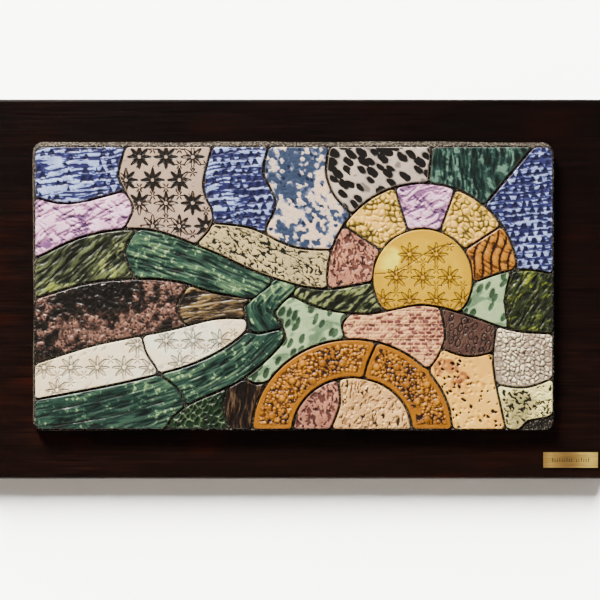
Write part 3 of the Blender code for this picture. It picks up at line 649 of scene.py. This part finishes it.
def new_piece(name, bm, material):
    mesh = bpy.data.meshes.new(name)
    bm.to_mesh(mesh)
    bm.free()
    mesh.materials.append(material)
    return new_object(name, mesh)


def points_of(mesh):
    points = np.empty(len(mesh.vertices) * 3, np.float32)
    mesh.vertices.foreach_get("co", points)
    return points.reshape(-1, 3).astype(np.float64)


def write_attribute(mesh, name, values):
    attribute = mesh.attributes.new(name, "FLOAT", "POINT")
    attribute.data.foreach_set("value", np.ascontiguousarray(values, np.float32))


def glazed_tile(node_name, pattern, material, spacing):
    """A tile's glazed mesh in place of its solid; gives the outline that the mortar leaves for it."""
    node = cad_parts[node_name]
    outline = back_outline(node)
    smooth = smoothed(outline, OUTLINE_STEP)
    low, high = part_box(node_name)
    front = low.y
    if node_name in BUBBLED:
        front += BUBBLE_ROOM
    bm = blank_tile(smooth, high.y, front, spacing)
    piece = new_piece(node_name.replace("tile_", "glazed_"), bm, material)
    points = points_of(piece.data)
    face = points[:, 1] < front + 1e-5
    loop = np.array([(p.x, p.z) for p in smooth]) / MM
    corners = np.array([(p.x, p.z) for p in outline]) / MM
    tile = Tile(corners, loop, points[:, 0] / MM, points[:, 2] / MM)
    if node_name in CUTS:
        tile.follow([field_line(points) for points in CUTS[node_name]])
    height, tone, stain = pattern(tile, tile.x, tile.z)
    room = ease(tile.edge, 0.3, 1.5)
    rounding = RIM_DROP * (1 - np.sqrt(1 - unit(1 - tile.edge / RIM_ROUND) ** 2))
    sway = 0.25 * (drift(tile.x, tile.z, 45, 9) - 0.5) * room
    level = np.median(height[face & (tile.edge > 2)])
    lift = level + (height - level) * room - rounding + sway
    points[face, 1] -= np.minimum(lift, MOST_LIFT)[face] * MM
    piece.data.vertices.foreach_set("co", points.astype(np.float32).ravel())
    for name, values in (
        ("run", tile.comb[0] * MM),
        ("side", tile.comb[1] * MM),
        ("tone", tone),
        ("stain", np.where(face, stain * ease(tile.edge, 0.2, 0.9), 0)),
        ("rim", np.where(face, 1 - room, 1)),
    ):
        write_attribute(piece.data, name, values)
    piece.data.shade_smooth()
    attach(piece, "root")
    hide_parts(node_name)
    return smooth


# Materials

def rgb(code):
    """Linear colour of a hexadecimal one."""
    parts = [int(code[i : i + 2], 16) / 255 for i in (0, 2, 4)]
    return (*[part / 12.92 if part <= 0.04045 else ((part + 0.055) / 1.055) ** 2.4 for part in parts], 1)


class Paint:
    """A material's node tree with short ways to add nodes."""

    def __init__(self, name):
        self.material = bpy.data.materials.new(name)
        self.material.use_nodes = True
        self.tree = self.material.node_tree
        self.shader = self.tree.nodes["Principled BSDF"]
        self.place = self.add("TexCoord").outputs["Object"]

    def add(self, kind, **settings):
        node = self.tree.nodes.new("ShaderNode" + kind)
        for key, value in settings.items():
            setattr(node, key, value)
        return node

    def feed(self, socket, value):
        if isinstance(value, bpy.types.NodeSocket):
            self.tree.links.new(value, socket)
        else:
            socket.default_value = value

    def set(self, name, value):
        self.feed(self.shader.inputs[name], value)

    def math(self, operation, a, b=0.0, clamp=False):
        node = self.add("Math", operation=operation, use_clamp=clamp)
        self.feed(node.inputs[0], a)
        self.feed(node.inputs[1], b)
        return node.outputs[0]

    def noise(self, scale, detail=3.0, roughness=0.55, stretch=None, distortion=0.0, place=None):
        node = self.add("TexNoise")
        place = place or self.place
        if stretch:
            mapping = self.add("Mapping")
            mapping.inputs["Scale"].default_value = stretch
            self.feed(mapping.inputs["Vector"], place)
            place = mapping.outputs[0]
        self.feed(node.inputs["Vector"], place)
        node.inputs["Scale"].default_value = scale
        node.inputs["Detail"].default_value = detail
        node.inputs["Roughness"].default_value = roughness
        node.inputs["Distortion"].default_value = distortion
        return node.outputs["Fac"]

    def ramp(self, value, stops):
        node = self.add("ValToRGB")
        elements = node.color_ramp.elements
        while len(elements) < len(stops):
            elements.new(1.0)
        for element, (position, color) in zip(elements, stops):
            element.position = position
            element.color = rgb(color) if isinstance(color, str) else (color, color, color, 1)
        self.feed(node.inputs[0], value)
        return node.outputs[0]

    def mix(self, share, first, second):
        node = self.add("Mix", data_type="RGBA")
        self.feed(node.inputs["Factor"], share)
        self.feed(node.inputs["A"], first)
        self.feed(node.inputs["B"], second)
        return node.outputs["Result"]

    def map(self, value, low, high, to_low=0.0, to_high=1.0):
        node = self.add("MapRange")
        for socket, setting in zip(node.inputs, (value, low, high, to_low, to_high)):
            self.feed(socket, setting)
        return node.outputs[0]

    def attribute(self, name):
        return self.add("Attribute", attribute_name=name).outputs["Fac"]

    def bump(self, height, strength, distance):
        node = self.add("Bump")
        node.inputs["Strength"].default_value = strength
        node.inputs["Distance"].default_value = distance
        self.feed(node.inputs["Height"], height)
        self.set("Normal", node.outputs[0])


def glaze(name, stops, stain, rough=0.3, clay="5f564c", coat=0.12, drawn=1.0, swing=0.08):
    """Fired glaze: colours by tone, a dark oxide left in the hollows, and thin glaze over clay at the rim; on
    the popcorn tile the dark in the hollows is painted shade.
    """
    paint = Paint(name)
    comb = paint.add("CombineXYZ")
    paint.feed(comb.inputs[0], paint.attribute("run"))
    paint.feed(comb.inputs[1], paint.attribute("side"))
    fine = paint.noise(760, 3, 0.6, (1 / drawn, 1.0, 1.0), place=comb.outputs[0])
    cloud = paint.noise(120, 3, 0.5)
    tone = paint.math("ADD", paint.attribute("tone"), paint.map(fine, 0.3, 0.7, -swing, swing), clamp=True)
    tone = paint.math("ADD", tone, paint.map(cloud, 0.3, 0.7, -0.05, 0.05), clamp=True)
    color = paint.ramp(tone, [(i / (len(stops) - 1), stop) for i, stop in enumerate(stops)])
    deep = paint.math("ADD", paint.attribute("stain"), paint.map(fine, 0.3, 0.7, -0.12, 0.12))
    color = paint.mix(paint.map(deep, 0.24, 0.66), color, rgb(stain))
    worn = paint.math("MULTIPLY", paint.attribute("rim"), paint.map(cloud, 0.35, 0.65, 0.0, 0.4), clamp=True)
    color = paint.mix(worn, color, rgb(clay))
    paint.set("Base Color", color)
    paint.set("Roughness", paint.map(fine, 0.3, 0.7, rough, rough + 0.18))
    paint.set("Coat Weight", coat)
    paint.set("Coat Roughness", 0.12)
    paint.set("Specular IOR Level", 0.35)
    paint.bump(fine, 0.45, 0.0004)
    return paint.material


def stained_wood():
    """Dark stained pine: fine grain along the board, with redder patches in places, and painted shade that
    darkens it towards the top.
    """
    paint = Paint("stained_wood")
    grain = paint.noise(60, 5, 0.62, (0.18, 1.0, 6.0), 0.4)
    fibre = paint.noise(420, 3, 0.6, (0.05, 1.0, 4.0))
    glow = paint.noise(8, 2, 0.5, (1.0, 1.0, 1.6))
    figure = paint.noise(22, 4, 0.6, (0.25, 1.0, 5.0), 0.6)
    shown = paint.map(figure, 0.40, 0.60, 0.15, 1.0)
    red = paint.math("MULTIPLY", paint.map(glow, 0.50, 0.72), shown, clamp=True)
    both = paint.math("ADD", paint.math("MULTIPLY", grain, 0.5), paint.math("MULTIPLY", fibre, 0.5))
    base = paint.ramp(both, [(0.38, "060302"), (0.52, "120705"), (0.66, "210e09")])
    warm = paint.ramp(grain, [(0.35, "200702"), (0.65, "3b1207")])
    color = paint.mix(paint.math("MULTIPLY", red, 0.8), base, warm)
    # painted shade: the wood is darkened towards the top of the board
    height = paint.add("SeparateXYZ")
    paint.feed(height.inputs[0], paint.place)
    color = paint.mix(paint.map(height.outputs["Z"], -0.1, 0.19, 0.0, 0.8), color, rgb("030101"))
    dust = paint.map(paint.noise(1300, 1, 0.5), 0.79, 0.82)
    color = paint.mix(paint.math("MULTIPLY", dust, 0.5), color, rgb("504a44"))
    paint.set("Base Color", color)
    paint.set("Roughness", paint.map(fibre, 0.3, 0.7, 0.30, 0.46))
    paint.set("Specular IOR Level", 0.12)
    paint.bump(both, 0.15, 0.0004)
    return paint.material


def rough_mortar():
    """Sandy cement mortar: dark down in the joints, partly its own colour and partly painted shade, and pale
    where it stands up at the edge, paler still on the top and left edges as painted light.
    """
    paint = Paint("sandy_mortar")
    grit = paint.noise(620, 1, 0.5)
    grain = paint.noise(260, 3, 0.6)
    cloud = paint.noise(40, 3, 0.55)
    value = paint.math("ADD", paint.math("MULTIPLY", grit, 0.7), paint.math("MULTIPLY", grain, 0.3))
    light = paint.ramp(value, [(0.40, "0c0a08"), (0.47, "1c1814"), (0.54, "312b26"), (0.61, "7a7162")])
    dark = paint.ramp(value, [(0.42, "070605"), (0.52, "151312"), (0.58, "2d2a25"), (0.64, "635d58")])
    # the lip attribute picks the pale ramp for the raised lip, with painted light on its top and left edges;
    # the dark ramp elsewhere is partly painted shade in the joints
    share = paint.math("ADD", paint.attribute("lip"), paint.map(cloud, 0.35, 0.65, -0.2, 0.2), clamp=True)
    paint.set("Base Color", paint.mix(share, dark, light))
    paint.set("Roughness", 0.92)
    paint.set("Specular IOR Level", 0.2)
    paint.bump(value, 0.9, 0.0012)
    return paint.material


def brushed_brass():
    """Brass sheet brushed along its length, with blackened strokes."""
    paint = Paint("brushed_brass")
    brush = paint.noise(900, 3, 0.6, (0.03, 1.0, 1.0))
    cloud = paint.noise(30, 2, 0.5, (1.0, 1.0, 0.2))
    both = paint.math("ADD", paint.math("MULTIPLY", brush, 0.35), paint.math("MULTIPLY", cloud, 0.65))
    color = paint.ramp(both, [(0.35, "795c30"), (0.5, "a08142"), (0.62, "e6c964")])
    depth = paint.add("SeparateXYZ")
    paint.feed(depth.inputs[0], paint.place)
    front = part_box("name_plate")[0].y
    black = paint.map(depth.outputs["Y"], front + 0.00008, front + 0.00016)
    color = paint.mix(black, color, rgb("0b0704"))
    paint.set("Base Color", color)
    paint.set("Metallic", paint.map(black, 0, 1, 0.55, 0))
    paint.set("Roughness", paint.map(brush, 0.3, 0.7, 0.40, 0.50))
    paint.bump(brush, 0.08, 0.0001)
    return paint.material


BUBBLED = ("tile_arch_left", "tile_arch_right")
FINELY_CUT = BUBBLED + (
    "tile_sun", "tile_sky_daisies", "tile_path_left", "tile_path_right", "tile_haze",
    "tile_speckled_field", "tile_ray_5", "tile_inner_left", "tile_inner_right",
    "tile_pitted_field", "tile_ringed_field", "tile_brick_field", "tile_popcorn_field",
)


def field_line(points):
    """A smooth line through points of the drawing, in millimetres on the panel."""
    knots = [Vector((x - HALF_WIDTH, z - HALF_HEIGHT + FIELD_UP, 0)) for x, z in points]
    knots = [2 * knots[0] - knots[1], *knots, 2 * knots[-1] - knots[-2]]
    line = []
    for before, start, end, after in zip(knots, knots[1:], knots[2:], knots[3:]):
        count = max(2, round((end - start).length / 14)) + 1
        leave, arrive = start + (end - before) / 6, end - (after - start) / 6
        line += interpolate_bezier(start, leave, arrive, end, count)[:-1]
    return [(p.x, p.y) for p in line + [knots[-2]]]


CUTS = {
    "tile_river_upper": [[(244, 146), (224, 122), (233, 106)]],
    "tile_river_middle": [[(216, 88), (188, 65), (152, 48)], [(236, 86), (204, 57), (164, 39)]],
    "tile_river_lower": [[(120, 44), (70, 30), (10, 18)], [(128, 28), (80, 14), (20, 4)]],
    "tile_teal_hill": [[(112, 184), (160, 170), (226, 144)], [(108, 166), (160, 154), (206, 140)]],
}

DARK_CLAY = "221e1a"

# Each glaze: its colours by tone, the oxide in its hollows (painted shade on the popcorn tile), and settings
# of its own
GLAZES = {
    "cobalt": ("a9beeb 6a7ab0 363c70 1d1e49 111333", "0d0c27", {}),
    "lilac": ("f1cde9 cb90b4 754d7a 4c3057", "2c1939", {}),
    "ivory_pink": ("998072 a9917f c4ab95", "120d0a", {}),
    "white": ("ccba9e f1ddb6 f3f3da c59976", "191411", {}),
    "sun_yellow": ("f3eb47 cea607 ba9100 b98a00", "472804", {}),
    "mottled_blue": ("f0c99b b7b1b2 5b6581 303d56 232f46", "10122a", {}),
    "pale_speckled": ("8b8064 b6a474 d5be86", "101310", {}),
    "spotted": ("524c4a 877d75 cdbbaa", "0b0807", {}),
    "deep_teal": ("051311 081e1b 122c28 2d4640 547564", "050d0c", {}),
    "ochre": ("693a14 8d520f b67d23", "1e0d05", {}),
    "pebbled": ("ebb65d c7a538 7f6616 473a16", "231e07", {}),
    "flecked_pink": ("bf8568 825245 4f2f2a 341d1a", "1a0d0c", {}),
    "olive": ("191e12 2a301e 464f31 7b8451 727f25", "080c05", dict(clay=DARK_CLAY, drawn=8.0, swing=0.14)),
    "grey_brown": ("2a1f12 423525 635133 937b44", "0c0806", dict(clay=DARK_CLAY, drawn=8.0, swing=0.14)),
    "deep_green": (
        "0d1208 1b230f 313b1b 5c6621 858f1f", "070905",
        dict(clay=DARK_CLAY, drawn=5.0, swing=0.14),
    ),
    "river_teal": (
        "0e241f 1b352c 2f4b3c 587554 91af73", "030c0b",
        dict(clay=DARK_CLAY, drawn=9.0, swing=0.17),
    ),
    "leaf_white": ("b4cc96 89a478 526e51 314631 213525", "111f14", {}),
    "dark_mottled": ("080604 18110e 35241f 5a433b 855e50", "070504", dict(clay=DARK_CLAY)),
    "bank_green": ("07180c 0d2311 1c301a 506544", "020c05", dict(clay=DARK_CLAY)),
    "root_brown": ("110804 1f1208 37271c 574630", "070403", dict(clay=DARK_CLAY, drawn=9.0, swing=0.14)),
    "amber": ("4d2907 754402 8d5804 d79728", "250d02", dict(rough=0.34, clay="8a5c0f")),
    "brick_pink": ("dea774 9e6a51 72413c 552b2b", "341e1c", {}),
    "pitted_cream": ("f0c96f eeb64b cd8c3a 8f532f", "24140b", {}),
    "ringed_brown": ("36231e 442e28 564035", "130806", {}),
    "popcorn_white": ("584f45 a3907c f3edc7", "2c2621", dict(rough=0.4)),
    "speckled_green": ("f3f3b1 f3e797 b7a96e 666c43", "16180d", {}),
    "scratched_cream": ("eebe75 cfa063 91674a", "261d12", {}),
}

TILES = {
    "tile_sky_corner": (cobalt_dabs, "cobalt", "glaze_cobalt"),
    "tile_sky_strokes": (cobalt_dabs, "cobalt", "glaze_cobalt"),
    "tile_sky_right": (cobalt_dabs, "cobalt", "glaze_cobalt"),
    "tile_sky_lilac": (lilac_strokes, "lilac", "glaze_lilac"),
    "tile_ray_3": (lilac_strokes, "lilac", "glaze_lilac"),
    "tile_sky_daisies": (stained_rosettes, "ivory_pink", "glaze_pale"),
    "tile_sky_mottled": (blue_mottle, "mottled_blue", "glaze_pale"),
    "tile_haze": (pale_specks, "pale_speckled", "glaze_green_white"),
    "tile_sky_spotted": (black_spots, "spotted", "glaze_pale"),
    "tile_sky_streaked": (upright_streaks, "deep_teal", "glaze_teal"),
    "tile_sun": (yellow_rosettes, "sun_yellow", "glaze_yellow"),
    "tile_ray_1": (cross_cuts, "ochre", "glaze_ochre"),
    "tile_ray_2": (pebbles, "pebbled", "glaze_cream"),
    "tile_ray_4": (pebbles, "pebbled", "glaze_cream"),
    "tile_ray_5": (pink_flecks, "flecked_pink", "glaze_pink"),
    "tile_olive_hill": (olive_comb, "olive", "glaze_olive"),
    "tile_teal_hill": (along_flow, "river_teal", "glaze_teal"),
    "tile_near_hill": (dusky_strokes, "olive", "glaze_olive"),
    "tile_hill_under_sun": (leaf_drops, "leaf_white", "glaze_green_white"),
    "tile_right_hill": (hill_veins, "deep_green", "glaze_deep_green"),
    "tile_dark_meadow": (dark_pebbles, "dark_mottled", "glaze_mottled_dark"),
    "tile_brown_meadow": (meadow_comb, "grey_brown", "glaze_brown"),
    "tile_path_left": (white_rosettes, "white", "glaze_pale"),
    "tile_path_right": (white_rosettes, "white", "glaze_pale"),
    "tile_river_upper": (along_flow, "river_teal", "glaze_teal"),
    "tile_river_middle": (along_flow, "river_teal", "glaze_teal"),
    "tile_river_lower": (along_flow, "river_teal", "glaze_teal"),
    "tile_bank_green": (green_veins, "bank_green", "glaze_deep_green"),
    "tile_bank_foot": (root_strokes, "root_brown", "glaze_brown"),
    "tile_bank_field": (leaf_drops, "leaf_white", "glaze_green_white"),
    "tile_arch_left": (amber_bubbles, "amber", "glaze_amber"),
    "tile_arch_right": (amber_bubbles, "amber", "glaze_amber"),
    "tile_inner_left": (pink_flecks, "flecked_pink", "glaze_pink"),
    "tile_inner_right": (scratches, "scratched_cream", "glaze_cream"),
    "tile_brick_field": (brick_rows, "brick_pink", "glaze_pink"),
    "tile_ringed_field": (rings, "ringed_brown", "glaze_brown"),
    "tile_popcorn_field": (popcorn, "popcorn_white", "glaze_pale"),
    "tile_pitted_field": (pits, "pitted_cream", "glaze_cream"),
    "tile_speckled_field": (green_specks, "speckled_green", "glaze_green_white"),
}


# Mortar

def prism(bm, outline, low, high, spread):
    """A closed slab with an outline that is moved out a little."""
    points = []
    for before, point, after in zip(outline[-1:] + outline[:-1], outline, outline[1:] + outline[:1]):
        along = (after - before).normalized()
        points.append(point + Vector((along.z, 0, -along.x)) * spread)
    base = bm.faces.new([bm.verts.new((p.x, high, p.z)) for p in points])
    raised = bmesh.ops.extrude_face_region(bm, geom=[base], use_keep_orig=True)["geom"]
    moved = [part for part in raised if isinstance(part, bmesh.types.BMVert)]
    bmesh.ops.translate(bm, verts=moved, vec=(0, low - high, 0))


def boolean(piece, bm, operation):
    """Joins or cuts with a closed mesh, and keeps the result."""
    bmesh.ops.recalc_face_normals(bm, faces=bm.faces)
    tool = new_piece("tool", bm, piece.data.materials[0])
    modifier = piece.modifiers.new("tool", "BOOLEAN")
    modifier.operation = operation
    modifier.solver = "MANIFOLD"
    modifier.object = tool
    bpy.context.view_layer.update()
    shaped = bpy.data.meshes.new_from_object(piece.evaluated_get(bpy.context.evaluated_depsgraph_get()))
    piece.modifiers.clear()
    piece.data = shaped
    bpy.data.objects.remove(tool)


def sandy_bed(outlines, material):
    """The mortar bed and its lip, with mortar standing up in the joints between the tiles."""
    bm = bmesh.new()
    bm.from_mesh(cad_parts["mortar_bed"].data)
    bmesh.ops.remove_doubles(bm, verts=bm.verts, dist=1e-6)
    bed = new_piece("sandy_mortar_bed", bm, material)
    slab = bmesh.new()
    centre = Vector((0, (JOINT_FACE + BED_FACE + JOINT_OVERLAP) / 2, 0.001))
    size = Matrix.Diagonal((0.5165, BED_FACE + JOINT_OVERLAP - JOINT_FACE, 0.2825, 1))
    bmesh.ops.create_cube(slab, size=1, matrix=Matrix.Translation(centre) @ size)
    upright = [e for e in slab.edges if abs(e.verts[0].co.y - e.verts[1].co.y) > 0.001]
    bmesh.ops.bevel(slab, geom=upright, offset=0.009, segments=6, profile=0.5, affect="EDGES", material=-1)
    boolean(bed, slab, "UNION")
    holes = bmesh.new()
    for outline in outlines:
        prism(holes, outline, -0.050, BED_FACE - JOINT_PLAY, JOINT_PLAY)
    boolean(bed, holes, "DIFFERENCE")
    bm = bmesh.new()
    bm.from_mesh(bed.data)
    crest = BED_FACE - LIP_RISE
    top = [f for f in bm.faces if f.normal.y < -0.15 and f.calc_center_median().y < crest]
    sweep_cuts(bm, sweep_cuts(bm, top, 0, SAND_SPACING), 2, SAND_SPACING)
    bmesh.ops.triangulate(bm, faces=[f for f in bm.faces if len(f.verts) > 4])
    bm.to_mesh(bed.data)
    bm.free()
    points = points_of(bed.data)
    x, z = points[:, 0] / MM, points[:, 2] / MM
    outside = np.maximum(np.abs(x) - HALF_WIDTH, np.abs(z - FIELD_UP) - HALF_HEIGHT)
    upper = points[:, 1] < crest
    grains = drift(x, z, 2.2, 501) + 0.4 * drift(x, z, 6, 503) - 0.7
    rise = np.where(outside > -2.0, 1.0, 0.4) * grains
    points[upper, 1] -= (rise * MM)[upper]
    # painted light: the lip is fully pale on the left and top edges, where the light falls, and only a
    # quarter as pale on the right and bottom
    side = np.where((x < 1 - HALF_WIDTH) | (z > HALF_HEIGHT), 1.0, 0.25)
    corner = ease(x, 214, 226) * ease(-z, 112, 124)
    lip = ease(outside, -1.6, 0.2) * side * (1 - corner)
    # painted shade: only the mortar near the front of the joints is moved towards the pale ramp, so deeper
    # down it stays dark
    lip = lip + 0.16 * (points[:, 1] < JOINT_FACE + LIP_RISE)
    bed.data.vertices.foreach_set("co", points.astype(np.float32).ravel())
    write_attribute(bed.data, "lip", unit(lip))
    bed.data.shade_smooth()
    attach(bed, "root")
    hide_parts("mortar_bed")


# Studio

def backdrop():
    """A pale floor and a white wall, which is clear from behind so that the board's back is seen."""
    paint = Paint("white_wall")
    paint.set("Base Color", rgb("f3f3f2"))
    paint.set("Roughness", 0.95)
    away = paint.add("NewGeometry").outputs["Backfacing"]
    clear = paint.add("BsdfTransparent")
    both = paint.add("MixShader")
    paint.feed(both.inputs["Fac"], away)
    paint.feed(both.inputs[1], paint.shader.outputs[0])
    paint.feed(both.inputs[2], clear.outputs[0])
    output = next(node for node in paint.tree.nodes if node.type == "OUTPUT_MATERIAL")
    paint.feed(output.inputs["Surface"], both.outputs[0])
    bm = bmesh.new()
    turn = Matrix.Translation((0, 0.0015, 0.6)) @ Matrix.Rotation(math.pi / 2, 4, "X")
    bmesh.ops.create_grid(bm, x_segments=1, y_segments=1, size=2.0, matrix=turn)
    wall = new_piece("wall", bm, paint.material)
    ground = Paint("pale_floor")
    color = ground.ramp(ground.noise(4, 2, 0.5), [(0.3, "9d9690"), (0.7, "aca49b")])
    ground.set("Base Color", color)
    ground.set("Roughness", 0.9)
    bm = bmesh.new()
    place = Matrix.Translation((0, -1.0, -2.0))
    bmesh.ops.create_grid(bm, x_segments=1, y_segments=1, size=4.0, matrix=place)
    new_piece("floor", bm, ground.material)
    return wall


def soft_light(name, place, aim, size, power, color=(1, 1, 1)):
    light = bpy.data.lights.new(name, "AREA")
    light.shape = "RECTANGLE"
    light.size, light.size_y = size
    light.energy = power
    light.color = color
    lamp = new_object(name, light)
    lamp.location = place
    lamp.rotation_euler = (Vector(aim) - Vector(place)).to_track_quat("-Z", "Y").to_euler()
    return lamp


def studio():
    """Daylight from high on the left, a wash for the wall alone, and a light behind for the board."""
    wall = backdrop()
    soft_light("high_window", (-1.1, -1.4, 2.5), (0, 0, 0), (1.2, 0.6), 450, (1.0, 0.94, 0.86))
    soft_light("side_fill", (1.9, -1.7, 0.5), (0, 0, 0), (1.4, 1.4), 5, (1.0, 0.95, 0.88))
    sky = bpy.data.lights.new("sky_on_wall", "SUN")
    sky.energy = 60
    sky.angle = math.radians(57)
    sky.color = (1.0, 0.985, 0.97)
    wash = new_object("sky_on_wall", sky)
    wash.rotation_euler = (math.radians(90 - 67), 0, math.radians(-12))
    washed = bpy.data.collections.new("washed_wall")
    washed.objects.link(wall)
    wash.light_linking.receiver_collection = washed
    behind = soft_light("light_behind", (0.9, 1.7, 0.9), (0, 0, 0), (1.4, 1.0), 160)
    unseen = bpy.data.collections.new("lit_from_behind")
    unseen.objects.link(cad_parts["board"])
    behind.light_linking.receiver_collection = unseen
    behind.light_linking.blocker_collection = unseen
    world = bpy.data.worlds.new("studio")
    world.use_nodes = True
    world.node_tree.nodes["Background"].inputs[0].default_value = (1, 0.94, 0.87, 1)
    world.node_tree.nodes["Background"].inputs[1].default_value = 0.15
    bpy.context.scene.world = world
    camera = bpy.data.cameras.new("view")
    camera.sensor_width = SENSOR
    camera.lens = SENSOR * VIEW_DISTANCE / VIEW_WIDTH
    eye = new_object("view", camera)
    eye.location = (0.006, BOARD_FACE - VIEW_DISTANCE, -0.011)
    eye.rotation_euler = (math.pi / 2, 0, 0)
    bpy.context.scene.camera = eye


def dress_solid(node_name, material):
    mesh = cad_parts[node_name].data
    mesh.materials.clear()
    mesh.materials.append(material)


glazes = {
    name: glaze(f"{name}_glaze", stops.split(), stain, **settings)
    for name, (stops, stain, settings) in GLAZES.items()
}
outlines = []
for node_name, (pattern, finish, slot) in TILES.items():
    spacing = FINE_SPACING if node_name in FINELY_CUT else PLAIN_SPACING
    outlines.append(glazed_tile(node_name, pattern, glazes[finish], spacing))
sandy_bed(outlines, rough_mortar())
dress_solid("board", stained_wood())
dress_solid("name_plate", brushed_brass())
studio()
